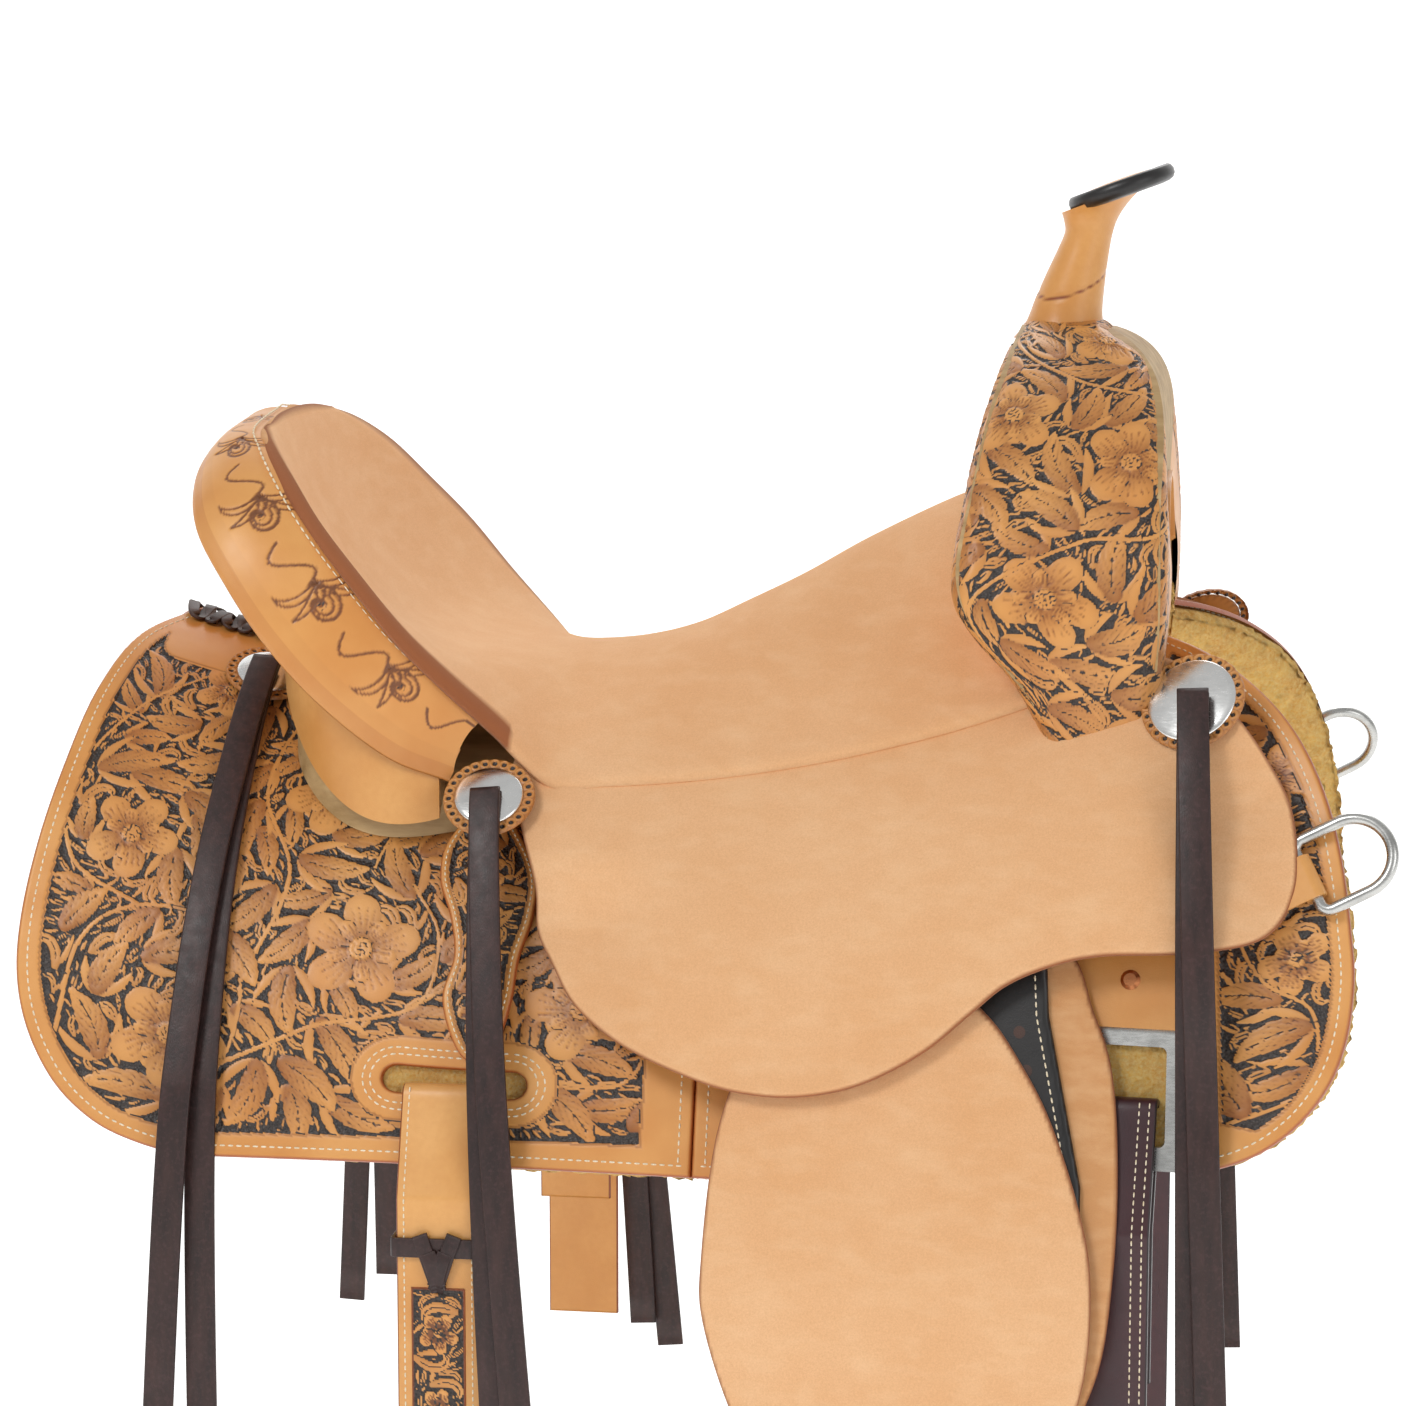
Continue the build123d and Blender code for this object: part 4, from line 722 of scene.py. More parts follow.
# ---------------------------------------------------------------- carved flower pattern
class Carving:
    """Height, dye and burnish maps of one tooled panel, in flat millimetres."""

    def __init__(self, ring, margin, holes=(), res=0.55, seed=1):
        self.low = ring.min(0) - 2
        self.res = res
        size = np.ceil((ring.max(0) - ring.min(0) + 4) / res).astype(int) + 1
        self.us = self.low[0] + np.arange(size[0]) * res
        self.vs = self.low[1] + np.arange(size[1]) * res
        self.height = np.zeros(size)
        self.dye = np.zeros(size)
        self.burn = np.zeros(size)
        self.rng = np.random.default_rng(seed)
        self.coarse = 1.6
        cu = np.arange(self.us[0], self.us[-1], self.coarse)
        cv = np.arange(self.vs[0], self.vs[-1], self.coarse)
        gu, gv = np.meshgrid(cu, cv, indexing="ij")
        self.spots = np.stack([gu.ravel(), gv.ravel()], 1)
        inside, dist, _ = polygon_info(self.spots, ring)
        self.free = np.where(inside, dist - margin, -1.0)
        for hole in holes:
            in_hole, hole_dist, _ = polygon_info(self.spots, hole)
            self.free = np.minimum(self.free, np.where(in_hole, -1.0, hole_dist - margin * 0.55))
        self.flowers = []
        self.tucked = False
        self.margin = margin

    def window(self, centre, reach):
        i0, i1 = np.searchsorted(self.us, [centre[0] - reach, centre[0] + reach])
        j0, j1 = np.searchsorted(self.vs, [centre[1] - reach, centre[1] + reach])
        return slice(i0, i1), slice(j0, j1)

    def stroke(self, line, widths, high=1.0, burn=0.3, tip_burn=0.0, vein=True, cuts=0, cover=True, dome=0.5):
        """One carved leaf, petal or stem: discs of the given half widths along a line."""
        line, widths = np.asarray(line, float), np.asarray(widths, float)
        middle = line.mean(0)
        reach = np.abs(line - middle).max() + widths.max() + 1.5
        wi, wj = self.window(middle, reach)
        gu, gv = np.meshgrid(self.us[wi], self.vs[wj], indexing="ij")
        if gu.size == 0:
            return
        du = gu[..., None] - line[:, 0]
        dv = gv[..., None] - line[:, 1]
        d = np.sqrt(du**2 + dv**2)
        q_all = d / widths
        at = q_all.argmin(-1)
        q = np.take_along_axis(q_all, at[..., None], -1)[..., 0]
        span = len(line) - 1
        t = at / span
        ahead = np.gradient(line, axis=0)
        ahead /= np.linalg.norm(ahead, axis=1)[:, None] + 1e-9
        near = d.argmin(-1)
        lateral = (np.take_along_axis(du, near[..., None], -1)[..., 0] * -ahead[near, 1]
                   + np.take_along_axis(dv, near[..., None], -1)[..., 0] * ahead[near, 0])
        along = near / span
        width_here = widths[near]
        inside = q < 1.0
        if self.tucked:
            inside &= self.height[wi, wj] == 0
        edge_mm = (1.0 - q) * widths[at]
        cut = edge_mm < 0.42
        h = high * (0.55 + dome * np.sqrt(np.maximum(1 - q**2, 0)))
        shade = burn * (1 - along) ** 1.5 + tip_burn * along**2 + 0.25 * np.clip(q, 0, 1) ** 3
        dye = np.where(cut, 0.15, 1.0)
        if vein:
            line_cut = (np.abs(lateral) < 0.38) & (along > 0.08) & (along < 0.86)
            h = np.where(line_cut, h - 0.5, h)
            dye = np.where(line_cut, 0.2, dye)
        if cuts:
            phase = (along - 0.42 * np.abs(lateral) / np.maximum(width_here, 0.5)) * cuts
            wave = np.abs(phase - np.round(phase))
            side_cut = (wave < 0.11) & (np.abs(lateral) > 0.5) & (along > 0.1) & (along < 0.95) & (edge_mm > 0.8)
            h = np.where(side_cut, h - 0.35, h)
            dye = np.where(side_cut, 0.42, dye)
            shade = np.where(side_cut, shade + 0.3, shade)
        self.height[wi, wj] = np.where(inside, h, self.height[wi, wj])
        self.dye[wi, wj] = np.where(inside, dye, self.dye[wi, wj])
        self.burn[wi, wj] = np.where(inside, np.clip(shade, 0, 1), self.burn[wi, wj])
        if cover:
            self.block(line, widths)

    def block(self, line, widths):
        step = max(len(line) // 10, 1)
        for point, w in zip(line[::step], widths[::step]):
            gap = np.hypot(self.spots[:, 0] - point[0], self.spots[:, 1] - point[1]) - w
            self.free = np.minimum(self.free, gap)

    def leaf(self, base, heading, length, width, bend=0.6, scallops=0, **look):
        t = np.linspace(0, 1, 30)
        turn = heading + bend * (t - 0.3)
        steps = np.stack([np.cos(turn), np.sin(turn)], 1) * length / 29
        line = np.asarray(base) + np.cumsum(steps, axis=0)
        w = width * (np.sin(pi * np.clip(t * 0.93 + 0.05, 0, 1)) ** 0.8 * (1 - 0.35 * t) + 0.06)
        if scallops:
            w = w * (1 + 0.16 * np.abs(np.sin(pi * scallops * t)))
        self.stroke(line, np.maximum(w, 0.35), **look)
        return line

    def scroll(self, base, heading, length, width, curl, **look):
        """Leaf whose end rolls up round an eye."""
        t = np.linspace(0, 1, 40)
        turn = heading + curl * t**2
        steps = np.stack([np.cos(turn), np.sin(turn)], 1) * (length / 39) * (1.25 - 0.75 * t)[:, None]
        line = np.asarray(base) + np.cumsum(steps, axis=0)
        w = width * (0.25 + 0.75 * np.sin(pi * np.clip(t + 0.12, 0, 1)) ** 0.7) * (1 - 0.3 * t)
        self.stroke(line, np.maximum(w, 0.5), **look)
        eye = line[-1]
        self.stroke([eye, eye + [0.05, 0]], [width * 0.42, width * 0.42], high=1.1, burn=0.0, vein=False)
        return line

    def flower(self, centre, size, facing=0.0, petals=5):
        centre = np.asarray(centre, float)
        self.flowers.append((centre, size))
        for ring, (reach, spread, count, off) in enumerate(((1.0, 0.44, petals, 0.0), (0.66, 0.30, petals, 0.5))):
            for k in range(count):
                angle = facing + (k + off) * 2 * pi / count + self.rng.uniform(-0.08, 0.08)
                t = np.linspace(0.12, 1, 26)
                bend = self.rng.uniform(-0.25, 0.25)
                turn = angle + bend * t
                line = centre + np.stack([np.cos(turn), np.sin(turn)], 1) * (t * size * reach * 0.8)[:, None]
                w = size * reach * spread * np.clip(t, 0, 1) ** 0.9 * (1 - 0.42 * np.clip((t - 0.62) / 0.38, 0, 1) ** 2)
                w = w * (1 + 0.10 * np.abs(np.sin(pi * 5 * t)))
                self.stroke(line, np.maximum(w, 0.6), high=1.15 + 0.2 * ring, burn=1.0, tip_burn=0.0,
                            vein=False, cuts=0, cover=ring == 0, dome=0.3)
                for lift in (-0.55, -0.2, 0.2, 0.55):
                    a0 = angle + lift * 0.5
                    cut_t = np.linspace(0.3, 0.78, 10)
                    cut = centre + np.stack([np.cos(a0 + bend * cut_t), np.sin(a0 + bend * cut_t)], 1) \
                        * (cut_t * size * reach)[:, None]
                    self.groove(cut, 0.30)
        for k in range(3):
            count = (1, 6, 11)[k]
            for j in range(count):
                spot = centre + size * (0.0, 0.085, 0.165)[k] * np.array([cos(j * 2 * pi / count), sin(j * 2 * pi / count)])
                self.stroke([spot, spot + [0.05, 0]], [size * 0.045 + 0.35] * 2, high=1.6, burn=0.0, vein=False,
                            cover=False)

    def groove(self, line, half):
        middle = line.mean(0)
        wi, wj = self.window(middle, np.abs(line - middle).max() + 2)
        gu, gv = np.meshgrid(self.us[wi], self.vs[wj], indexing="ij")
        if gu.size == 0:
            return
        d = np.sqrt((gu[..., None] - line[:, 0])**2 + (gv[..., None] - line[:, 1])**2).min(-1)
        hit = d < half * 1.4
        self.height[wi, wj] = np.where(hit, self.height[wi, wj] - 0.4, self.height[wi, wj])
        self.burn[wi, wj] = np.where(hit, 1.0, self.burn[wi, wj])
        self.dye[wi, wj] = np.where(hit, np.minimum(self.dye[wi, wj], 0.55), self.dye[wi, wj])

    def stem(self, points, width=1.3):
        line = smooth(points, 1.2)
        t = np.linspace(0, 1, len(line))
        for low in range(0, len(line) - 1, 30):
            part = slice(low, min(low + 32, len(line)))
            self.stroke(line[part], np.full(len(line[part]), width) * (1.15 - 0.3 * t[part]), high=0.8, burn=0.15,
                        vein=False)

    def heading_at(self, spot):
        """Direction of growth: round the nearest flower, away from it."""
        best, turn = 1e9, 0.0
        for index, (centre, size) in enumerate(self.flowers):
            rel = spot - centre
            gap = hypot(*rel) - size
            if gap < best:
                best = gap
                sense = 1 if index % 2 else -1
                turn = atan2(rel[1], rel[0]) + sense * 1.05
        return turn

    def fill(self, smallest=1.5, largest=9.5, count=1400):
        """Leaves and scrolls packed into what is still free, largest first."""
        self.tucked = True
        for k in range(count):
            where = int(self.free.argmax())
            room = float(self.free[where])
            if room < smallest:
                break
            room = min(room, largest)
            spot = self.spots[where]
            heading = self.heading_at(spot) + self.rng.uniform(-0.35, 0.35)
            length = room * self.rng.uniform(3.2, 4.3)
            back = np.array([cos(heading), sin(heading)]) * length * 0.5
            bend = self.rng.uniform(0.5, 1.1) * self.rng.choice([-1, 1])
            before = self.free.copy()
            if room > 6.5:
                self.leaf(spot - back, heading, length, room * 0.74, bend, scallops=6, high=1.0, burn=0.75, cuts=6)
                for sense in (-1, 1):
                    self.leaf(spot - back * 1.05, heading + sense * 0.75, length * 0.72, room * 0.34, -sense * 0.8,
                              high=0.9, burn=0.3, vein=False)
            elif room > 3.6:
                self.scroll(spot - back, heading, length * 1.2, room * 0.55, self.rng.choice([-1, 1]) * 4.2,
                            high=0.95, burn=0.35)
                self.leaf(spot - back, heading + bend * 0.9, length * 0.85, room * 0.36, -bend, high=0.85, burn=0.3,
                          vein=False)
            else:
                self.leaf(spot - back, heading, length * 1.15, room * 0.6, bend, high=0.85, burn=0.35, vein=room > 2.6)
                self.leaf(spot - back, heading + bend * 0.7, length * 0.9, room * 0.38, -bend, high=0.8, burn=0.3,
                          vein=False)
            near = np.hypot(self.spots[:, 0] - spot[0], self.spots[:, 1] - spot[1])
            self.free = np.where(near < room * 0.5, -1.0, np.minimum(self.free, before))

    def sample(self, grid, points):
        """Values of a map at flat points."""
        fu = np.clip((points[:, 0] - self.us[0]) / self.res, 0, len(self.us) - 1.001)
        fv = np.clip((points[:, 1] - self.vs[0]) / self.res, 0, len(self.vs) - 1.001)
        i, j = fu.astype(int), fv.astype(int)
        a, b = fu - i, fv - j
        return (grid[i, j] * (1 - a) * (1 - b) + grid[i + 1, j] * a * (1 - b)
                + grid[i, j + 1] * (1 - a) * b + grid[i + 1, j + 1] * a * b)

    def field(self, border):
        """Where the pattern lies: 1 inside the border line, 0 on the plain border."""
        return lambda points, dist: (dist > border).astype(float)

    def looks(self, dist_to_edge, border):
        """Height, dye and burn functions for leather_panel."""
        def inner(points):
            free_mm = dist_to_edge(points)
            return free_mm - border

        def height(points, dist):
            room = inner(points)
            h = self.sample(self.height, points) - 1.1
            plain = np.zeros(len(points))
            line = np.exp(-((room + 1.2) / 0.45)**2) * 0.5
            return np.where(room > 0, h, plain - line) * 0.85

        def dye(points, dist):
            room = inner(points)
            value = self.sample(self.dye, points)
            line = np.abs(room + 0.1) < 0.5
            return np.where(room > 0, value, np.where(line, 0.2, 1.0))

        def burn(points, dist):
            room = inner(points)
            value = self.sample(self.burn, points)
            return np.where(room > 0, value, np.where(np.abs(room + 1.2) < 0.5, 0.6, 0.0))

        return height, {"dye": dye, "burn": burn}


def side_ring(points, step=3.0, off=0.0, closed=False):
    """Outline seen from the side, as (u, s) on the shell."""
    line = smooth(points, step, closed)
    return np.array([on_shell(x, z, off) for x, z in line])


def crest_line(from_x, to_x, half, step=3.0, off=0.0):
    """Straight edge beside the spine at a half width."""
    slope = np.arcsin((half + CREST_Y) / (SECTION_R + off))
    s = SECTION_R * (slope - CREST)
    us = []
    for x in np.arange(from_x, to_x, step if to_x > from_x else -step):
        reach = SPINE_R + CREST_DEPTH - (SECTION_R + off) * cos(slope)
        us.append((AROUND * np.arcsin((x - SPINE_X) / reach), s))
    return np.array(us)


def straight(a, b, step=3.0, off=0.0):
    count = max(int(hypot(b[0] - a[0], b[1] - a[1]) / step), 2)
    return np.array([on_shell(a[0] + (b[0] - a[0]) * i / count, a[1] + (b[1] - a[1]) * i / count, off)
                     for i in range(count)])


def moved_ring(ring, inset):
    """A closed ring moved inwards (for a counter-clockwise or clockwise ring alike)."""
    ahead = np.roll(ring, -1, axis=0) - np.roll(ring, 1, axis=0)
    ahead /= np.linalg.norm(ahead, axis=1)[:, None] + 1e-9
    area = 0.5 * np.sum(ring[:, 0] * np.roll(ring[:, 1], -1) - np.roll(ring[:, 0], -1) * ring[:, 1])
    sense = 1 if area > 0 else -1
    return ring + np.stack([-ahead[:, 1], ahead[:, 0]], 1) * inset * sense


# ---------------------------------------------------------------- skirts
def spine_s(half, off=0.0):
    return SECTION_R * (np.arcsin((half + CREST_Y) / (SECTION_R + off)) - CREST)


def slot_ring(grow):
    half = SLOT_W / 2 - SLOT_H / 2
    u, s = on_shell(SLOT_X, SLOT_Z)
    r = SLOT_H / 2 + grow
    ring = [(u + half + r * cos(a), s + r * sin(a)) for a in np.linspace(-pi / 2, pi / 2, 14)]
    ring += [(u - half - r * cos(a), s - r * sin(a)) for a in np.linspace(-pi / 2, pi / 2, 14)]
    return even(np.array(ring), 2.0, True)


def skirt_line(line_us, side=-1, off=0.0):
    return shell(line_us[:, 0], line_us[:, 1], off, side), shell_normal(line_us[:, 0], line_us[:, 1], side)


def rear_ring():
    top = crest_line(SEAM_X - 0.4, -226, 38)
    joined = crest_line(-226, -258, 0.6)
    side = side_ring(REAR_SKIRT)
    bottom = straight((-228, -205), (SEAM_X - 0.4, SKIRT_BOTTOM))
    seam = straight((SEAM_X - 0.4, SKIRT_BOTTOM), (SEAM_X - 0.4, 30))
    return ring_of(side, bottom, seam, top, joined)


def front_ring():
    side = side_ring(FRONT_SKIRT)
    top = crest_line(262, SEAM_X, 38)
    seam = straight((SEAM_X, 30), (SEAM_X, SKIRT_BOTTOM))
    bottom = straight((SEAM_X, SKIRT_BOTTOM), (PLATE[0] - 0.4, SKIRT_BOTTOM))
    notch = ring_of(straight((PLATE[0] - 0.4, SKIRT_BOTTOM), (PLATE[0] - 0.4, PLATE[3])),
                    straight((PLATE[0] - 0.4, PLATE[3]), (PLATE[1] + 0.4, PLATE[3])),
                    straight((PLATE[1] + 0.4, PLATE[3]), (PLATE[1] + 0.4, -189)))
    return ring_of(side, top, seam, bottom, notch)


def ring_distance(ring, holes=()):
    """Function giving the distance inside a ring, and outside its holes."""
    def call(points):
        inside, dist, _ = polygon_info(points, ring)
        value = np.where(inside, dist, 0.0)
        for hole in holes:
            _, hole_dist, _ = polygon_info(points, hole)
            value = np.minimum(value, hole_dist)
        return value
    return call


STEP = 0.95


def add_rear_skirt():
    ring = rear_ring()
    hole = slot_ring(0)
    carve_ring = ring_of(side_ring(REAR_SKIRT), straight((-228, -205), (SEAM_X - 14, SKIRT_BOTTOM + 3)),
                         straight((SEAM_X - 14, SKIRT_BOTTOM), (SEAM_X - 14, 10)), crest_line(SEAM_X - 14, -272, 42))
    carving = Carving(carve_ring, 13.5, [slot_ring(3)], seed=3)
    for x, z, size, facing in (
        (-169, -32, 27, 0.3), (-271, -50, 24, 1.2), (-144, -104, 29, 0.9), (-240, -146, 27, 0.1),
        (-26, -130, 27, 0.6), (-238, 15, 20, 0.0),
    ):
        carving.flower(on_shell(x, z), size, facing)
    for route in (
        [(-300, -150), (-290, -100), (-262, -84), (-222, -92), (-205, -120), (-212, -160), (-240, -180)],
        [(-205, -120), (-186, -70), (-205, -30), (-190, 4), (-150, 2), (-130, -30), (-142, -66)],
        [(-212, -160), (-178, -146), (-160, -140), (-112, -130), (-104, -98), (-120, -74)],
        [(-112, -145), (-60, -160), (-6, -166), (10, -140), (6, -100)],
        [(-262, -84), (-300, -60), (-304, -20), (-280, 10), (-252, 22)],
    ):
        carving.stem([on_shell(x, z) for x, z in route], 1.4)
    for x, z, heading, length, width, bend in (
        (-218, -96, 0.75, 34, 7.5, 0.3), (-182, -158, 0.5, 36, 8.0, 0.6), (2, -186, -0.5, 34, 8.5, 0.5),
        (-300, -96, -1.2, 30, 7.0, 0.5),
    ):
        carving.leaf(on_shell(x, z), heading, length, width, bend, scallops=7, high=1.2, burn=0.8, cuts=7)
    carving.fill()
    far = ring_distance(carve_ring, [slot_ring(3)])
    height, looks = carving.looks(far, 12.5)
    verts, faces, values = leather_panel([ring, hole], STEP, on_side, 0.0, 5.0, height, looks)
    make_pair("rear_skirt", verts, faces, TOOLED, "saddle", "rear_skirt", values)
    rim = ring_of(side_ring(REAR_SKIRT), straight((-228, -205), (SEAM_X - 0.4, SKIRT_BOTTOM)))
    closed = moved_ring(ring, 5.5)[:len(rim)]
    lines = [even(closed, 2.0)]
    lines.append(np.array([on_shell(SEAM_X - 7, z) for z in np.arange(SKIRT_BOTTOM + 6, -60, 2)]))
    oval = slot_ring(5.5)
    lines.append(np.vstack([oval, oval[:1]]))
    oval = slot_ring(9.0)
    lines.append(np.vstack([oval, oval[:1]]))
    pairs = [skirt_line(line, -1, 0.0) for line in lines]
    stitches("rear_skirt_stitches", [p[0] for p in pairs], [p[1] for p in pairs], "saddle")


def add_front_skirt():
    ring = front_ring()
    carve_ring = ring_of(side_ring(FRONT_SKIRT[2:]), straight((262, 50), (215, -40)),
                         straight((215, -40), (286, -66)), straight((286, -66), (289, -180)))
    carving = Carving(carve_ring, 12.0, seed=8)
    carving.flower(on_shell(322, -6), 19, 0.4)
    carving.flower(on_shell(335, -90), 17, 1.0)
    carving.stem([on_shell(x, z) for x, z in [(300, -170), (340, -150), (344, -115), (318, -100), (300, -70)]], 1.3)
    carving.leaf(on_shell(312, -164), 1.35 - pi, 34, 8.5, 0.4, scallops=7, high=1.2, burn=0.8, cuts=7)
    carving.fill()
    far = ring_distance(carve_ring)
    height, looks = carving.looks(far, 10.5)
    verts, faces, values = leather_panel([ring], STEP, on_side, 0.0, 5.0, height, looks)
    make_pair("front_skirt", verts, faces, TOOLED, "saddle", "front_skirt", values)
    rim = side_ring(FRONT_SKIRT)
    line = even(moved_ring(ring, 5.5)[:len(rim)], 2.0)
    second = np.array([on_shell(SEAM_X + 7, z) for z in np.arange(SKIRT_BOTTOM + 6, -60, 2)])
    low = np.array([on_shell(x, SKIRT_BOTTOM + 5.5) for x in np.arange(SEAM_X + 4, PLATE[0] - 6, 2)])
    pairs = [skirt_line(part, -1, 0.0) for part in (line, second, low)]
    stitches("front_skirt_stitches", [p[0] for p in pairs], [p[1] for p in pairs], "saddle")


add_rear_skirt()
add_front_skirt()


# ---------------------------------------------------------------- seat and jockeys
def jockey_z(x, half):
    reach = SECTION_R + JOCKEY_TOP
    slope = np.arcsin((half + CREST_Y) / reach)
    radius = SPINE_R + CREST_DEPTH - reach * cos(slope)
    return AXIS_Z - sqrt(radius**2 - (x - SPINE_X)**2), -tan(slope)


def seat_point(row, part):
    """Point of the seat's top face a part of the way out along one row."""
    mid_x, mid_z, edge_x, half, edge_z = row
    x = mid_x + (edge_x - mid_x) * part**2
    if edge_z is not None:
        return (x, half * part, mid_z + (edge_z - mid_z) * part**2.4)
    low, fall = jockey_z(edge_x, half)
    rise = fall * half
    z = (mid_z * (2 * part**3 - 3 * part**2 + 1) + low * (3 * part**2 - 2 * part**3) + rise * (part**3 - part**2))
    return (x, half * part, z)


def dense(grid, times):
    """Grid of points made finer along its first axis by a Catmull-Rom curve."""
    n = len(grid)
    ring = np.concatenate([2 * grid[:1] - grid[1:2], grid, 2 * grid[-1:] - grid[-2:-1]])
    out = []
    for i in range(n - 1):
        a, b, c, d = ring[i:i + 4]
        for t in np.linspace(0, 1, times, endpoint=False):
            out.append(0.5 * (2 * b + (c - a) * t + (2 * a - 5 * b + 4 * c - d) * t**2
                              + (3 * b - a - 3 * c + d) * t**3))
    out.append(grid[-1])
    return np.array(out)


def grid_quads(n, m, wrap=False):
    i, j = np.meshgrid(np.arange(n - 1), np.arange(m if wrap else m - 1), indexing="ij")
    k = (j + 1) % m
    return np.stack([i * m + j, (i + 1) * m + j, (i + 1) * m + k, i * m + k], -1).reshape(-1, 4)


def ease(value):
    value = np.clip(value, 0, 1)
    return value * value * (3 - 2 * value)


def jockey_place(points, off):
    """Jockeys lie closer to the skirt at their front lobe and along their rear edge."""
    u, s = points[:, 0], points[:, 1]
    u_front, s_front = on_shell(250, -5, JOCKEY_TOP)
    front = ease((u - u_front) / 50) * ease((s - s_front + 12) / 48) * 17
    u_rear, s_rear = on_shell(25, -45, JOCKEY_TOP)
    rear = ease((u_rear - u) / 60) * ease((s - s_rear) / 40) * 15
    return shell(u, s, np.asarray(off) - front - rear)


def add_seat():
    parts = np.linspace(-1, 1, 49)
    rows = np.array([[np.array(seat_point(row, abs(p))) * [1, 1 if p > 0 else -1, 1] for p in parts]
                     for row in SEAT_ROWS])
    grid = dense(rows, 9)
    tucks = []
    for out, down in ((2.0, 1.3), (4.5, 4.0)):
        left, right = grid[:, :1], grid[:, -1:]
        tucks.append((left + [0, -out, -down - out * 0.7], right + [0, out, -down - out * 0.7]))
    grid = np.concatenate([tucks[1][0], tucks[0][0], grid, tucks[0][1], tucks[1][1]], axis=1)
    parts = np.concatenate([[-1, -1], parts, [1, 1]])
    n, m = grid.shape[:2]
    verts = grid.reshape(-1, 3) + [0, 0, 0.15]
    along = np.linspace(0, 1, n)[:, None] * np.ones(m)
    rim_run = np.abs(parts)[None, :] * np.ones((n, 1))
    # Painted shade: the seat's edge colour darkens it along its rear rim and its top row, in the crease where it meets
    # the cantle roll.
    rear = grid[..., 0] < -72
    seat_rim_shade = np.where(rear, ease((rim_run - 0.955) / 0.045), 0.0)
    seat_rim_shade = np.maximum(seat_rim_shade, ease((0.012 - along) / 0.012))
    faces = grid_quads(n, m)
    obj = make("seat", verts, faces[:, ::-1], SUEDE, "saddle", [], {"edge": seat_rim_shade.reshape(-1)})
    thick = obj.modifiers.new("thickness", "SOLIDIFY")
    thick.thickness = 0.0035
    thick.offset = -1
    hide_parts("seat_leather")
    line = smooth(JOCKEY_REAR, 3.0)
    side = np.array([on_shell(x, z, JOCKEY_TOP) for x, z in line])
    slope = np.arcsin((123.0 + CREST_Y) / (SECTION_R + JOCKEY_TOP))
    s_top = SECTION_R * (slope - CREST)
    top = [(u, s_top) for u in np.arange(side[-1, 0], side[0, 0], -3.0)]
    ring = ring_of(side, top)
    verts, faces, values = leather_panel([ring], 1.3, jockey_place, JOCKEY_TOP, 4.0, None, None, True, 1.8)
    inside, dist, near = polygon_info(side_us(verts), side)
    make_both("jockeys", verts, faces, SUEDE, "saddle", ["seat_leather"],
              {"edge": np.where(np.abs(verts[:, 1]) > 133, values["edge"], 0.0)})


def side_us(verts):
    """(u, s) of points near the shell."""
    reach = np.hypot(verts[:, 0] - SPINE_X, AXIS_Z - verts[:, 2])
    u = AROUND * np.arctan2(verts[:, 0] - SPINE_X, AXIS_Z - verts[:, 2])
    depth, y = reach - SPINE_R, np.abs(verts[:, 1])
    slope = np.arctan2(y + CREST_Y, CREST_DEPTH - depth)
    round_s = SECTION_R * (np.minimum(slope, SIDE) - CREST)
    end_y = SECTION_R * sin(SIDE) - CREST_Y
    end_d = CREST_DEPTH - SECTION_R * cos(SIDE)
    past = (y - end_y) * cos(SIDE) + (depth - end_d) * sin(SIDE)
    return np.stack([u, np.where(slope > SIDE, ROUND_RUN + past, round_s)], 1)


# ---------------------------------------------------------------- cantle
def scroll_band(carving, run, width):
    """Running vine of scrolls cut as lines along the rim side of the cantle roll."""
    count = 5
    pitch = run / count
    for k in range(count):
        u0 = 12 + k * pitch
        middle = np.array([u0 + pitch * 0.5, width * 0.42])
        t = np.linspace(0, 1, 60)
        for grow, half in ((1.0, 0.75), (0.62, 0.6)):
            angle = -2.4 + t * 7.4
            reach = (10.5 * (1 - 0.84 * t)) * grow
            curl = middle + np.stack([np.cos(angle) * 1.15, np.sin(angle)], 1) * reach[:, None]
            carving.groove(curl, half)
        carving.stroke([middle, middle + [0.4, 0]], [1.9, 1.9], high=0.15, burn=1.0, vein=False)
        start = middle + [-14.5, -5.0]
        for lift, bend, length in ((0.9, 2.2, 30), (0.5, 1.5, 27), (-0.25, -1.5, 27), (-0.6, -2.2, 24), (0.15, 0.5, 15)):
            turn = lift + bend * (t - 0.1)
            steps = np.stack([np.cos(turn), np.sin(turn)], 1) * length / 59
            side = np.stack([-np.sin(turn), np.cos(turn)], 1)
            line = start + np.cumsum(steps, axis=0)
            belly = np.sin(pi * t)[:, None] * 1.9
            carving.groove(line + side * belly, 0.5)
            carving.groove(line - side * belly, 0.5)
        link = np.stack([u0 + pitch * (0.8 + 0.5 * t), width * (0.42 + 0.17 * np.sin(t * 2 * pi))], 1)
        carving.groove(link, 0.65)


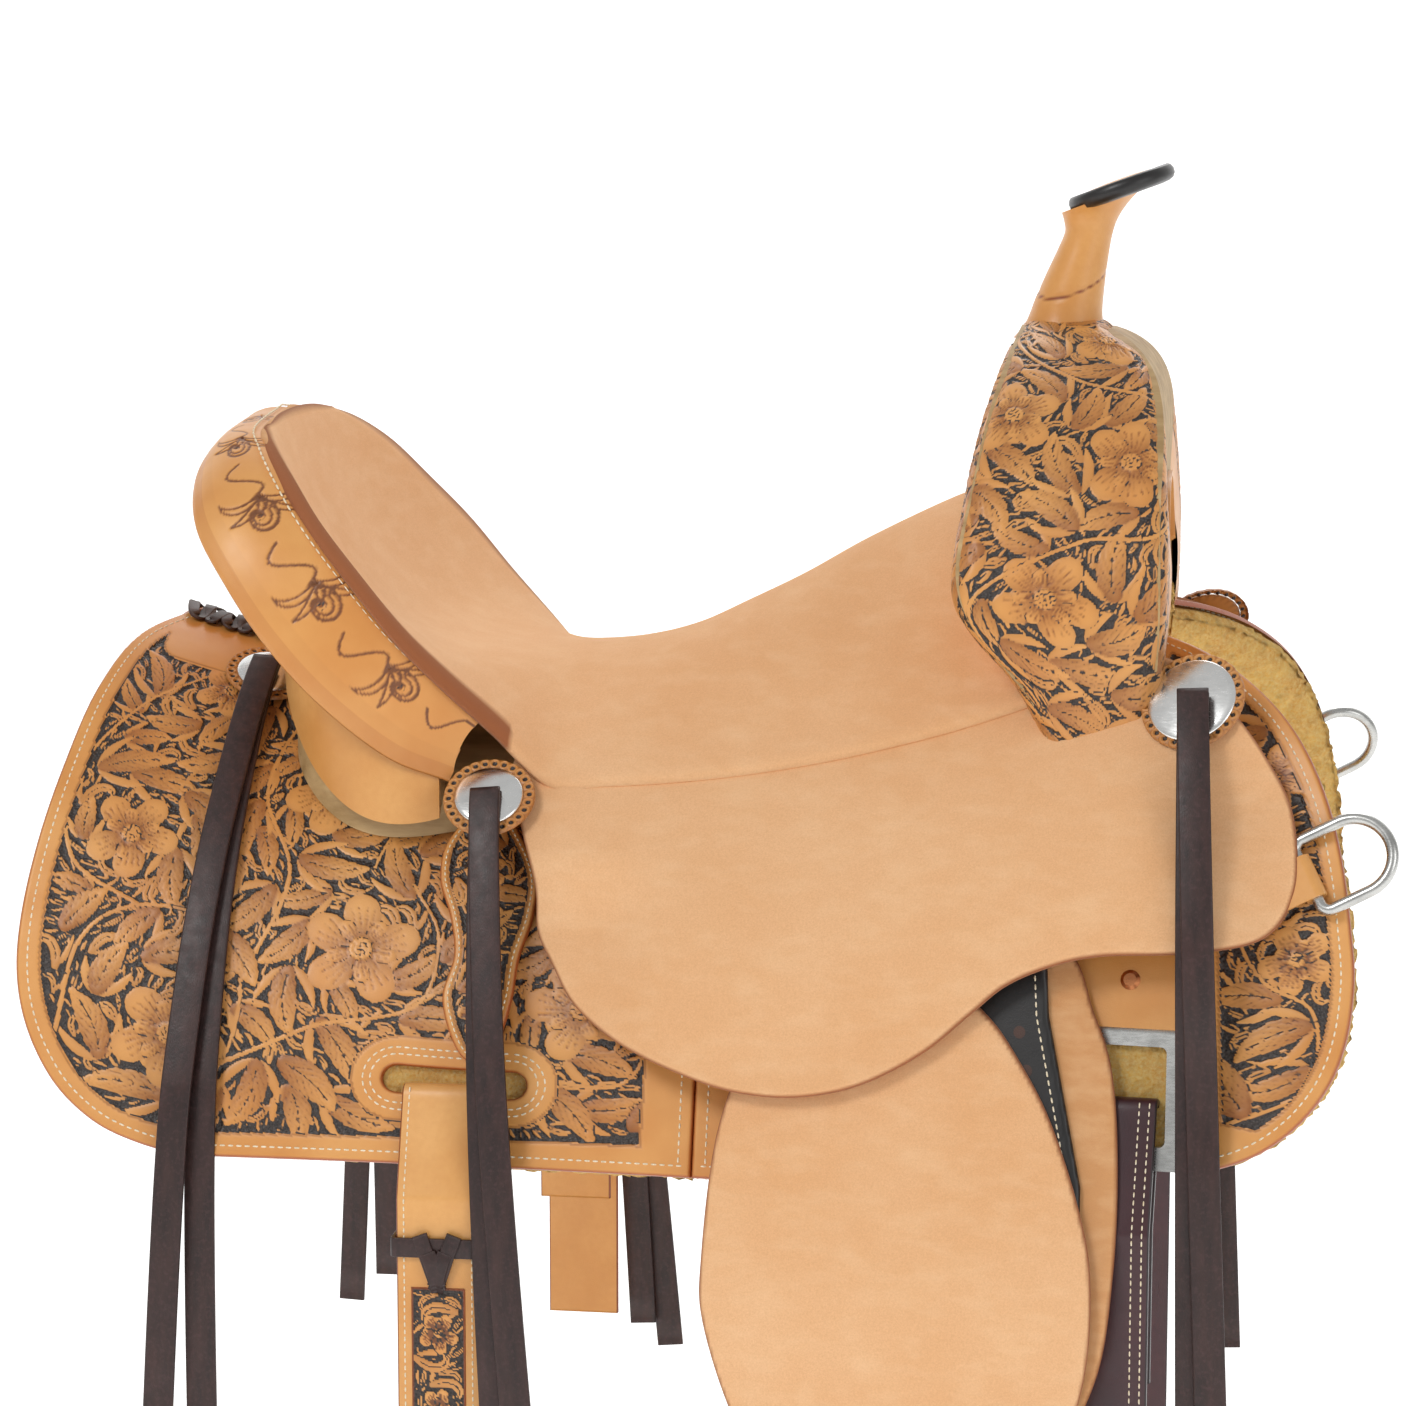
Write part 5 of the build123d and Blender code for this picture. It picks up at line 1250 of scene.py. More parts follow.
def add_cantle():
    rim = dense(np.array(ROLL_RIM, float), 10)
    lip = dense(np.array(ROLL_LIP, float), 10)
    rim = np.vstack([rim[::-1] * [1, -1, 1], rim[1:]])
    lip = np.vstack([lip[::-1] * [1, -1, 1], lip[1:]])
    rim, lip = dense(rim, 6), dense(lip, 6)
    run = np.concatenate([[0], np.cumsum(np.linalg.norm(np.diff((rim + lip) / 2, axis=0), axis=1))])
    total = run[-1]
    wide = np.linalg.norm(lip - rim, axis=1)
    width = wide.max()
    area = np.array([(0, 0), (total / 2 - 8, 0), (total / 2 - 8, width), (0, width)], float)
    carving = Carving(even(area, 3.0, True), 3.0, res=0.4, seed=5)
    carving.height[:] = 0.62
    carving.dye[:] = 1.0
    scroll_band(carving, total / 2 - 26, width)
    grid, values = [], {"dye": [], "burn": [], "edge": []}
    across = np.concatenate([np.linspace(0, 1, 44), [1.04, 1.06, 1.04, 0.96, 0.8, 0.5]])
    drop = np.concatenate([np.zeros(44), [1.2, 3.0, 5.0, 6.4, 7.0, 7.0]])
    fall = np.stack([lip[:, 0] * 0 - 0.45, -np.sign(lip[:, 1]) * 0.25, -np.ones(len(lip))], 1)
    fall /= np.linalg.norm(fall, axis=1)[:, None]
    for a, d in zip(across, drop):
        puff = 6.0 * np.sin(pi * min(a, 1.0)) ** 0.8 if a <= 1 else 0.0
        flat = np.stack([total / 2 - np.abs(run - total / 2), np.full(len(run), min(a, 1.0) * width)], 1)
        flat[:, 0] = np.abs(run - total / 2)
        lift = carving.sample(carving.height, flat) - 0.62
        on = 1.0 if 0.05 < a < 0.78 else 0.0
        point = rim + (lip - rim) * a + np.stack([
            -0.4 * np.ones(len(rim)), 0.5 * np.tanh(rim[:, 1] / 30), 0.6 * np.ones(len(rim))], 1) * (puff + lift * on)[:, None]
        grid.append(point + fall * d)
        values["dye"].append(np.where(on > 0, carving.sample(carving.dye, flat), 1.0))
        values["burn"].append(np.where(on > 0, carving.sample(carving.burn, flat), 0.06))
        values["edge"].append(np.full(len(rim), 0.0 if a < 0.95 and d == 0 else 0.35))
    grid = np.array(grid)
    n, m = grid.shape[:2]
    make("cantle_roll", grid.reshape(-1, 3), grid_quads(n, m)[:, ::-1], TOOLED, "saddle", ["cantle_roll"],
         {k: np.array(v).reshape(-1) for k, v in values.items()})
    normal = np.stack([-0.45 * np.ones(len(rim)), 0.5 * np.tanh(rim[:, 1] / 30), 0.75 * np.ones(len(rim))], 1)
    at = rim + (lip - rim) * 0.13 + normal * 4.0
    stitches("cantle_stitches", [at], [normal], "saddle", 5.0, 3.5, 0.6, both=False)
    ahead = np.gradient(rim, axis=0)
    ahead /= np.linalg.norm(ahead, axis=1)[:, None]
    ring = np.array([(cos(a), sin(a)) for a in np.linspace(0, 2 * pi, 10, endpoint=False)])
    out = np.cross(ahead, normal)
    out /= np.linalg.norm(out, axis=1)[:, None]
    verts = rim[:, None] + out[:, None] * ring[None, :, :1] * 2.6 + normal[:, None] * ring[None, :, 1:] * 2.4
    make("seat_rim", verts.reshape(-1, 3), grid_quads(len(rim), 10, True), BACKED, "saddle", [])


# ---------------------------------------------------------------- fork, gullet and horn
def along_z(table, z):
    line = smooth(table, 2.0)
    line = line[np.argsort(line[:, 1])]
    return np.interp(z, line[:, 1], line[:, 0])


def add_fork():
    fine = 2
    half = smooth(FORK_PROFILE, 2.2 / fine)
    half = half[half[:, 1] > -8]
    ahead = np.gradient(half, axis=0)
    ahead /= np.linalg.norm(ahead, axis=1)[:, None]
    out = np.stack([-ahead[:, 1], ahead[:, 0]], 1)
    run = np.concatenate([[0], np.cumsum(np.linalg.norm(np.diff(half, axis=0), axis=1))])
    arch = []
    for t in np.linspace(0, 1, len(half)):
        angle = t * 1.25 * pi / 2
        arch.append((71 * sin(min(angle, pi / 2)), 64 + 71 * cos(min(angle, pi / 2)) - max(angle - pi / 2, 0) * 100))
    arch = np.array(arch)
    rear_r, front_r = 13.0, 13.0
    rows = []
    for y_z, n, g in zip(half, out, arch):
        path = []
        for b in np.linspace(1, 0, 16 * fine):
            path.append((along_z(FORK_REAR, y_z[1]), rear_r, b))
        for a in np.linspace(0, pi / 2, 19 * fine + 1)[1:]:
            path.append((along_z(FORK_REAR, y_z[1]) + rear_r * (1 - cos(a)), rear_r * (1 - sin(a)), 0.0))
        low, high = along_z(FORK_REAR, y_z[1]) + rear_r, along_z(FORK_FRONT, y_z[1]) - front_r
        for x in np.linspace(low, high, 39 * fine + 1)[1:]:
            path.append((x, 0.0, 0.0))
        for a in np.linspace(0, pi / 2, 17 * fine + 1)[1:]:
            path.append((high + front_r * sin(a), front_r * (1 - cos(a)), 0.0))
        for b in np.linspace(0, 1, 15 * fine + 1)[1:]:
            path.append((high + front_r, front_r, b))
        row = []
        for index, (x, inset, b) in enumerate(path):
            y, z = y_z - n * inset
            y, z = y + (g[0] - y) * b, z + (g[1] - z) * b
            if index < 16 * fine - 1:
                x = along_z(FORK_REAR, z)
            row.append((x, -max(y, 0.0), z))
        rows.append(row)
    grid = np.array(rows)
    n_rows, m = grid.shape[:2]
    lengths = np.concatenate([np.zeros((n_rows, 1)), np.cumsum(np.linalg.norm(np.diff(grid, axis=1), axis=2), axis=1)], 1)
    first, last = 12 * fine, (16 + 19 + 39 + 17 + 4) * fine
    v = (lengths - lengths[:, first:first + 1]) / (lengths[:, last:last + 1] - lengths[:, first:first + 1]) * 150
    u = run[:, None] * np.ones(m)
    area = np.array([(0, 0), (run[-1], 0), (run[-1], 150), (0, 150)], float)
    carving = Carving(even(area, 3.0, True), 3.5, res=0.5, seed=11)
    for at, size, facing in (((52, 96), 25, 0.2), ((120, 42), 24, 0.8), ((150, 104), 25, 0.4), ((225, 66), 24, 0.1)):
        carving.flower(at, size, facing)
    carving.stem([(6, 40), (60, 40), (92, 74), (110, 120), (150, 138), (190, 118), (196, 80), (230, 30), (280, 40)], 1.5)
    carving.fill()
    flat = np.stack([u.reshape(-1), np.clip(v, 0, 150).reshape(-1)], 1)
    on = ((v > 3) & (v < 147)).reshape(-1)
    lift = np.where(on, carving.sample(carving.height, flat) - 1.0, 0.0) * 0.9
    dye = np.where(on, carving.sample(carving.dye, flat), 1.0)
    dye = np.where(np.abs(np.clip(v, 0, 150).reshape(-1) - 147) < 0.8, 0.2, dye)
    burn = np.where(on, carving.sample(carving.burn, flat), 0.05)
    du = np.gradient(grid, axis=0)
    dv = np.gradient(grid, axis=1)
    face_n = np.cross(du, dv)
    face_n /= np.linalg.norm(face_n, axis=2)[..., None] + 1e-9
    towards = grid - np.array([215.0, 0, 70.0])
    face_n *= np.sign((face_n * towards).sum(2))[..., None]
    verts = grid.reshape(-1, 3) + face_n.reshape(-1, 3) * lift[:, None]
    faces = grid_quads(n_rows, m)
    make_both("fork_cover", verts, faces[:, ::-1], TOOLED, "saddle", ["fork_cover"],
              {"dye": dye, "burn": burn, "edge": np.where(v.reshape(-1) > 160, 0.15, 0.0)})


HORN_RINGS = [
    (205, 207, 3, 25.0, 23.0), (207, 216, 5, 20.5, 19.5), (210, 230, 8, 18.4, 17.6), (214, 245, 12, 16.4, 15.8),
    (218, 258, 16, 15.0, 14.4), (221.5, 267, 18, 15.4, 14.8), (225, 275, 20, 20.0, 18.0), (229, 281, 20, 25.5, 23.0),
]


def add_horn():
    rings = []
    for x, z, tilt, along, across in HORN_RINGS:
        lean = radians(tilt)
        rings.append([(x + along * cos(a) * cos(lean), across * sin(a), z + along * cos(a) * sin(lean))
                      for a in np.linspace(0, 2 * pi, 72, endpoint=False)])
    grid = dense(np.array(rings), 8)
    n, m = grid.shape[:2]
    turn = np.arctan2(grid[..., 1], grid[..., 0] - grid[..., 0].mean(1)[:, None])
    band = (grid[..., 2] - 236) - 9.0 * np.sin(turn + 0.6)
    seam = np.exp(-(band / 0.9)**2)
    grid = grid - 0.7 * seam[..., None] * np.stack([np.cos(turn), np.sin(turn), 0 * turn], -1)
    make("horn_wrap", grid.reshape(-1, 3), grid_quads(n, m, True), TAN, "saddle", ["horn_wrap"],
         {"edge": seam.reshape(-1)})
    lean = radians(20)
    centre = np.array([236.5, 0, 286.0])
    ax, az = np.array([cos(lean), 0, sin(lean)]), np.array([-sin(lean), 0, cos(lean)])
    top = [(0, 4.4), (8, 4.3), (16, 3.8), (22, 3.2), (25.0, 2.6)]
    profile = top + [(25.4, 3.4), (27.2, 3.6), (28.6, 2.4), (29.4, 0.3), (29.2, -2.2), (27.8, -4.2), (25.2, -5.2), (21, -5.6)]
    verts = []
    for r, h in profile:
        for a in np.linspace(0, 2 * pi, 96, endpoint=False):
            verts.append(centre + ax * r * cos(a) + np.array([0, 1, 0]) * r * 0.98 * sin(a) + az * h)
    verts = np.array(verts)
    faces = grid_quads(len(profile), 96, True)
    split = 96 * (len(top) - 1)
    make("horn_cap_cover", verts[:96 * len(top)], faces[:split][:, ::-1], TAN, "saddle", ["horn_cap_cover"])
    rest = faces[split:] - split
    make("horn_edge_binding", verts[split:], rest[:, ::-1], BLACK, "saddle", ["horn_edge_binding", "horn_core"])


# ---------------------------------------------------------------- discs, rosettes and tabs
def seat_frame(x, z, off, side=-1):
    """Centre, along, up and away vectors of a place on the shell."""
    u, s = on_shell(x, z, off)
    away = shell_normal(u, s, side)
    along = np.array([cos(u / AROUND), 0, sin(u / AROUND)])
    return np.array([x, side * side_y(x, z, off), z]), along, np.cross(away, along), away


def lathe(frame_at, profile, count, ripple=None):
    centre, along, up, away = frame_at
    verts = []
    for r, h in profile:
        for a in np.linspace(0, 2 * pi, count, endpoint=False):
            grow = ripple(r, a) if ripple else 0.0
            verts.append(centre + (along * cos(a) + up * sin(a)) * (r + grow) + away * h)
    return np.array(verts), grid_quads(len(profile), count, True)


def add_conchos():
    disc_v, disc_f, rose_v, rose_f, rose_dye_hole_shade, rose_burn = [], [], [], [], [], []
    for x, z, off, radius, outer in CONCHOS.values():
        at = seat_frame(x, z, off)
        dome = [(0.01, 5.6), (radius * 0.3, 5.5), (radius * 0.6, 5.1), (radius * 0.85, 4.4), (radius * 0.93, 4.0),
                (radius * 0.97, 3.6), (radius, 3.0), (radius, 2.4), (radius * 0.96, 2.2)]
        v, f = lathe(at, dome, 64)
        disc_f.append(f + sum(len(q) for q in disc_v))
        disc_v.append(v)
        loops = 26
        rs = np.concatenate([np.linspace(0.01, outer - 6.5, 6), np.linspace(outer - 6, outer, 13)])
        count = loops * 14
        verts = []
        for r in rs:
            for a in np.linspace(0, 2 * pi, count, endpoint=False):
                near = ((a * loops / (2 * pi)) % 1 - 0.5) * 2 * pi * (outer - 3.0) / loops
                mid = hypot(near, r - (outer - 3.0))
                edge = outer - 1.0 + 1.3 * sqrt(max(1 - (near / 3.2)**2, 0.0))
                rr = min(r, edge)
                hole = mid < 1.25
                ring = 0.55 * np.exp(-((mid - 2.2) / 0.6)**2)
                verts.append(at[0] + (at[1] * cos(a) + at[2] * sin(a)) * rr + at[3] * (2.4 + ring - (1.1 if hole else 0.0)
                             - (1.6 if r >= outer - 0.1 else 0.0)))
                # Painted shade: each lace hole, only a shallow dip, gets the dark ground colour of the tooled leather.
                rose_dye_hole_shade.append(0.0 if hole else 1.0)
                rose_burn.append(0.25 + 0.5 * float(np.exp(-((mid - 3.2) / 0.5)**2)))
        rose_f.append(grid_quads(len(rs), count, True) + sum(len(q) for q in rose_v))
        rose_v.append(np.array(verts))
    make_both("conchos", np.vstack(disc_v), np.vstack(disc_f), SILVER, "saddle", ["conchos"])
    make_both("concho_rosettes", np.vstack(rose_v), np.vstack(rose_f), TOOLED, "saddle", ["concho_rosettes"],
              {"dye": np.array(rose_dye_hole_shade), "burn": np.array(rose_burn), "edge": np.zeros(len(rose_dye_hole_shade))})


def add_tabs():
    ring = side_ring(TAB, 2.0, 3.8, True)
    carving = Carving(ring, 6.0, seed=21)
    carving.flower(on_shell(-82, -70), 11, 0.4)
    carving.flower(on_shell(-79, -136), 10, 0.9)
    carving.fill(1.4, 7.0)
    far = ring_distance(ring)
    height, looks = carving.looks(far, 5.5)
    verts, faces, values = leather_panel([ring], 0.8, on_side, 5.6, 3.5, height, looks, True)
    make_both("billet_tabs", verts, faces, TOOLED, "saddle", ["billet_tabs"], values)
    line = moved_ring(ring, 2.8)
    line = np.vstack([line, line[:1]])
    at, normal = skirt_line(even(line, 1.5), -1, 5.6)
    stitches("tab_stitches", [at], [normal], "saddle", 3.4, 2.4, 0.42)


add_seat()
add_cantle()
add_fork()
add_horn()
add_conchos()
add_tabs()


# ---------------------------------------------------------------- hanging straps
SKIRT_T, WOOL_T, BILLET_T = 5.0, 14.0, 4.0
BEND_Z, FENDER_FLAT_Z, FENDER_X = -262.0, -160.0, 128.0
BACKING_AT, LEATHER_AT, FENDER_AT = 9.5, 12.3, 16.6
BACKING_SHAPE = [
    (120, -92), (180, -84), (222, -90), (236, -118), (246, -146), (250, -190), (249, -240),
    (242, -290), (222, -330), (190, -352), (150, -345), (110, -310), (96, -240), (98, -160),
    (106, -110),
]
FENDER_SHAPE = [
    (128, -112), (165, -110), (185, -122), (202, -144), (216, -168), (230, -204), (238, -240),
    (236, -290), (220, -340), (196, -385), (186, -420), (168, -432), (138, -432), (118, -420),
    (100, -385), (66, -330), (46, -275), (44, -240), (50, -180), (66, -140), (94, -118),
]
STIRRUP_Z, BUCKLE_Z, LEATHER_X, STRAP_W, LOOP_R = -548.0, -455.0, 158.0, 75.0, 8.3


class Hang:
    """Upright plane square to the skirt at a place: a away from the horse, b up, t along."""

    def __init__(self, x, z):
        u, s = on_shell(x, z)
        self.normal = shell_normal(u, s, -1)
        self.origin = np.array([x, -side_y(x, z), z])
        self.out = np.array([self.normal[0], self.normal[1], 0.0])
        self.out /= np.linalg.norm(self.out)
        self.along = np.cross(self.out, [0, 0, 1.0])
        self.part = float(self.normal @ self.out)
        self.lean = float(self.normal[2]) / self.part

    def slab(self, drop, off):
        return (drop * self.lean + off / self.part, -drop)

    def world(self, line, t=0.0):
        line = np.asarray(line, float)
        t = np.broadcast_to(t, len(line))
        return self.origin + line[:, :1] * self.out + line[:, 1:] * [0, 0, 1.0] + t[:, None] * self.along

    def hanging(self, z, off, bend_z):
        """Distance out of a layer that lies along the skirt and then hangs straight down."""
        drop = self.origin[2] - z
        straight_a = (self.origin[2] - bend_z) * self.lean + off
        soft = 9.0
        lying = drop * self.lean + off / self.part
        gap = (lying - straight_a) / soft
        return straight_a - soft * np.logaddexp(0, -gap) * 1.0

    def place(self, bend_z):
        def call(points, off):
            x, z = points[:, 0], points[:, 1]
            a = self.hanging(z, np.asarray(off, float), bend_z)
            t = (x - self.origin[0] - self.out[0] * a) / self.along[0]
            return self.origin + a[:, None] * self.out + t[:, None] * self.along + np.stack(
                [0 * z, 0 * z, z - self.origin[2]], 1)
        return call


def bent(points, radius, step=1.2):
    """Polyline with its corners rounded, as even points."""
    points = np.asarray(points, float)
    out = [points[0]]
    for before, corner, after in zip(points[:-2], points[1:-1], points[2:]):
        a, b = before - corner, after - corner
        la, lb = np.linalg.norm(a), np.linalg.norm(b)
        a, b = a / la, b / lb
        half = np.arccos(np.clip(a @ b, -1, 1)) / 2
        run = min(radius / max(np.tan(half), 0.05), la * 0.49, lb * 0.49)
        start, end = corner + a * run, corner + b * run
        for t in np.linspace(0, 1, 8):
            out.append((1 - t)**2 * start + 2 * t * (1 - t) * corner + t**2 * end)
    out.append(points[-1])
    return even(np.array(out), step)


def ribbon(path, across, half_w, half_t, round_r=1.1):
    """Strap with rounded edges swept along a path; across is the width direction."""
    path = np.asarray(path, float)
    across = np.broadcast_to(across, path.shape)
    ahead = np.gradient(path, axis=0)
    ahead /= np.linalg.norm(ahead, axis=1)[:, None] + 1e-9
    up = np.cross(ahead, across)
    up /= np.linalg.norm(up, axis=1)[:, None] + 1e-9
    section = []
    for corner, (cx, cy) in enumerate(((1, 1), (-1, 1), (-1, -1), (1, -1))):
        for a in np.linspace(0, pi / 2, 4) + corner * pi / 2:
            section.append((cx * (half_w - round_r) + round_r * cos(a), cy * (half_t - round_r) + round_r * sin(a)))
    section = np.array(section)
    verts = path[:, None] + across[:, None] * section[None, :, :1] + up[:, None] * section[None, :, 1:]
    n, m = len(path), len(section)
    faces = [grid_quads(n, m, True), tuple(range(m - 1, -1, -1)), tuple(range((n - 1) * m, n * m))]
    rim = np.abs(section[:, 0]) > half_w - round_r * 0.9
    return verts.reshape(-1, 3), faces, {"edge": np.tile(rim.astype(float), n)}


def make_sided(name, verts, faces, mat, body, node, attrs):
    """Right and left pieces from faces that may be tuples as well as arrays."""
    for side in ("right", "left"):
        on = body if body == "saddle" else body + "_" + side
        points = verts if side == "right" else mirrored(verts)
        turned = faces if side == "right" else [
            f[:, ::-1] if isinstance(f, np.ndarray) else tuple(reversed(f)) for f in faces]
        make(name + "_" + side, points, list(turned), mat, on, [node + "_" + side] if node else (), attrs)


def billet(name, x, z, top, inner, bottom_z, inner_end_z, width, mat):
    hang = Hang(x, z)
    outer = 1.2 + BILLET_T / 2
    inner = inner + BILLET_T / 2
    bend = z + 222
    low, over = hang.slab(bend, outer), hang.slab(-top, outer)
    under = (over[0] - (outer + inner) * hang.part, over[1] - (outer + inner) * hang.normal[2])
    inner_low = hang.slab(bend, -inner)
    line = bent([(low[0], bottom_z - z), low, over, under, inner_low, (inner_low[0] + 1, inner_end_z - z)], 6.0)
    verts, faces, values = ribbon(hang.world(line), hang.along, width / 2, BILLET_T / 2)
    make_sided(name, verts, faces, mat, name, name, values)
    leg = bent([low, (low[0], bottom_z - z + 4)], 5.0)
    front = bent([over, low, (low[0], bottom_z - z + 4)], 6.0)
    face = np.array([BILLET_T / 2 + 0.1, 0])
    return hang, leg + face, front + face


def add_billets():
    hang, leg, front = billet("flank_billet", -94.0, -174.0, 6, SKIRT_T + WOOL_T + 1.2, -410.0, -330.0, 43.0,
                              TAN)
    lines = [hang.world(front, t) for t in (-17.5, 17.5)]
    out = [np.tile(hang.out, (len(front), 1))] * 2
    stitches("flank_billet_stitches", lines, out, "flank_billet", 3.8, 2.7, 0.45, pair=True)
    face_a = leg[0, 0]

    def on_leg(points, off):
        line = np.stack([face_a + np.asarray(off) * np.ones(len(points)), points[:, 1] - hang.origin[2]], 1)
        return hang.world(line, points[:, 0])

    ring = even(np.array([(-14, -404), (14, -404), (14, -268), (-14, -268)], float), 2.0, True)
    carving = Carving(ring, 1.5, res=0.4, seed=31)
    for z in (-292, -332, -374):
        carving.flower((0, z), 10.5, z * 0.1)
    carving.fill(1.2, 6.0)
    height, looks = carving.looks(ring_distance(ring), 1.2)
    verts, faces, values = leather_panel([ring], 0.8, on_leg, 0.9, 0.9, height, looks, False, 0.6)
    make_pair("flank_billet_tooling", verts, faces, TOOLED, "flank_billet", None, values)
    lace_z = -247.0 - hang.origin[2]
    a0 = face_a
    bands = []
    inner_a = hang.slab(48, -(SKIRT_T + WOOL_T + 1.2))[0] - BILLET_T
    loop = bent([(a0 + 1.5, -18), (a0 + 1.5, 20), (a0 + 1.5, 23.2), (inner_a - 1.5, 23.2), (inner_a - 1.5, -23.2),
                 (a0 + 1.5, -23.2), (a0 + 1.5, -18)], 2.0)
    path = hang.origin + loop[:, :1] * hang.out + loop[:, 1:] * hang.along + np.array([0, 0, lace_z])
    bands.append(ribbon(path, np.array([0, 0, 1.0]), 5.0, 1.2, 0.6))
    for sense in (-1, 1):
        for shift, lift in ((0, 2.6), (9, 3.6)):
            knot = np.array([(a0 + lift, 7 - shift), (a0 + lift + 0.8, -4 - shift * 0.4), (a0 + lift, -22 + shift * 0.3)])
            side = np.array([sense * (9 - shift * 0.5), sense * (5.0 - shift * 0.3), -sense * 1.0])
            curve = hang.origin + knot[:, :1] * hang.out + knot[:, 1:] * [0, 0, 1.0] + np.array([0, 0, lace_z]) \
                + side[:, None] * hang.along
            curve = dense(curve, 8)
            ahead = np.gradient(curve, axis=0)
            ahead /= np.linalg.norm(ahead, axis=1)[:, None]
            across = np.cross(ahead, np.tile(hang.out, (len(curve), 1)))
            across /= np.linalg.norm(across, axis=1)[:, None]
            bands.append(ribbon(curve, across, 4.0, 0.9, 0.5))
    verts, faces, base = [], [], 0
    for v, f, _ in bands:
        faces += [g + base if isinstance(g, np.ndarray) else tuple(i + base for i in g) for g in f]
        verts.append(v)
        base += len(v)
    make_sided("billet_lace", np.vstack(verts), faces, STRING, "flank_billet", "billet_lace", None)
    hang, leg, front = billet("front_billet", 248.0, -187.5, 28, 6.0, -470.0, -300.0, 40.0, WINE)
    lines = [hang.world(front, t) for t in (-16.5, -11.5, 11.5, 16.5)]
    out = [np.tile(hang.out, (len(front), 1))] * 4
    stitches("front_billet_stitches", lines, out, "front_billet", 4.0, 2.8, 0.42, pair=True)


def add_fender():
    hang = Hang(FENDER_X, FENDER_FLAT_Z)
    place = hang.place(BEND_Z)
    step = 2.2
    for name, shape, top, thick, mat in (
        ("leather_backing", BACKING_SHAPE, BACKING_AT + 2.5, 2.5, BACKED), ("fender", FENDER_SHAPE, FENDER_AT + 3.5, 3.5, SUEDE),
    ):
        ring = even(smooth(shape, 3.0, True), 3.0, True)
        verts, faces, values = leather_panel([ring], step, place, top, thick, None, None, True, 1.3)
        make_pair(name, verts, faces, mat, "fender", name, values)
    outline = [
        (176, -84), (212, -88), (214, -120), (232, -200), (232, -300), (195.5, -420), (195.5, -530),
        (120.5, -530), (120.5, -420), (140, -200), (158, -110),
    ]
    ring = even(np.array(outline, float), 3.0, True)
    verts, faces, values = leather_panel([ring], step, place, LEATHER_AT + 4.0, 4.0, None, None, True, 1.3)
    middle = hang.slab(FENDER_FLAT_Z - BEND_Z, 0)[0] + LEATHER_AT + 2.0
    drop = FENDER_FLAT_Z - STIRRUP_Z
    centre = middle + LOOP_R
    loop = [(middle, -drop + 24)] + [(centre - LOOP_R * cos(t), -drop - LOOP_R * sin(t)) for t in np.linspace(0, pi, 14)]
    back = bent([loop[-1], (centre + LOOP_R, -drop + 16), (middle + 4.3, -drop + 36),
                 (middle + 4.3, BUCKLE_Z - FENDER_FLAT_Z + 6)], 9.0)
    line = even(np.vstack([np.array(loop), back[1:]]), 1.5)
    along_mid = (LEATHER_X - hang.origin[0] - hang.out[0] * middle) / hang.along[0]
    path = hang.world(line, along_mid)
    v2, f2, e2 = ribbon(path, hang.along, STRAP_W / 2, 2.0)
    base = len(verts)
    faces = list(faces) + [g + base if isinstance(g, np.ndarray) else tuple(i + base for i in g) for g in f2]
    values = {"edge": np.concatenate([values["edge"], e2["edge"]])}
    make_sided("stirrup_leather", np.vstack([verts, v2]), faces, BLACK, "fender", "stirrup_leather", values)
    rows = []
    for points in ([(206, -92), (208, -120), (226, -200), (226, -298), (190, -418), (190, -520)],
                   [(126, -520), (126, -422), (146, -200), (163, -114)]):
        flat = even(np.array(points, float), 2.0)
        rows.append(place(flat, np.full(len(flat), LEATHER_AT + 4.05)))
    stitches("leather_stitches", rows, [np.tile(hang.out, (len(r), 1)) for r in rows], "fender", 4.4, 3.1, 0.5, pair=True)
    # Painted shade: the stirrup leather's holes are flat dark discs laid just over its face, not cut through.
    holes = []
    for z in (-128, -146, -164, -182):
        t = np.linspace(0, 2 * pi, 16, endpoint=False)
        x = 198 + (-120 - z) * 0.22
        disc = np.stack([x + 3.0 * np.cos(t), z + 3.0 * np.sin(t)], 1)
        holes.append(place(disc, np.full(16, LEATHER_AT + 4.12)))
    make_pair("leather_hole_shade_discs", np.vstack(holes), [np.array([[k * 16 + i for i in range(15, -1, -1)]]) for k in range(4)],
              DARK, "fender", None)


# ---------------------------------------------------------------- wool, lacing and rigging
def add_wool():
    top = crest_line(262, -226, 38)
    joined = crest_line(-226, -258, 0.6)
    ring = ring_of(side_ring(REAR_SKIRT), straight((-228, -205), (SEAM_X, SKIRT_BOTTOM)),
                   straight((SEAM_X, SKIRT_BOTTOM), (286, -189)), side_ring(FRONT_SKIRT), top, joined)
    ring = even(moved_ring(even(ring, 4.0, True), 2.0), 4.0, True)
    points, quads, dist = grid_panel([ring], 3.0)
    rng = np.random.default_rng(17)
    curl = rng.uniform(-1.0, 1.0, len(points))
    swell = 5.0 * (1 - np.clip(dist / 7.0, 0, 1))**2
    upper = on_side(points, np.full(len(points), -SKIRT_T - 0.3))
    lower = on_side(points, -SKIRT_T - WOOL_T + 0.8 + curl + swell)
    rim = rim_edges(quads)
    ids = np.unique(rim)
    spot = np.full(len(points), -1)
    spot[ids] = np.arange(len(ids))
    rings, count = [], len(points)
    middle = points.mean(0)
    rim_out = moved_ring(points[ids], 0.0)
    for k, off in enumerate((-8.0, -11.5, -15.0)):
        push = rng.uniform(0.2, 2.6, len(ids))[:, None]
        away = points[ids] - middle
        away /= np.linalg.norm(away, axis=1)[:, None]
        rings.append(on_side(rim_out + away * push, np.full(len(ids), off)))
    verts = np.vstack([upper, lower] + rings)
    levels = [None] + [2 * count + k * len(ids) for k in range(3)] + [None]
    faces = [quads, quads[:, ::-1] + count]

    def at(level, which):
        if level == 0:
            return which
        if level == 4:
            return which + count
        return levels[level] + spot[which]

    for level in range(4):
        a, b = rim[:, 0], rim[:, 1]
        faces.append(np.stack([at(level, b), at(level, a), at(level + 1, a), at(level + 1, b)], 1))
    make_pair("wool_lining", verts, faces, WOOL, "saddle", "wool_lining")


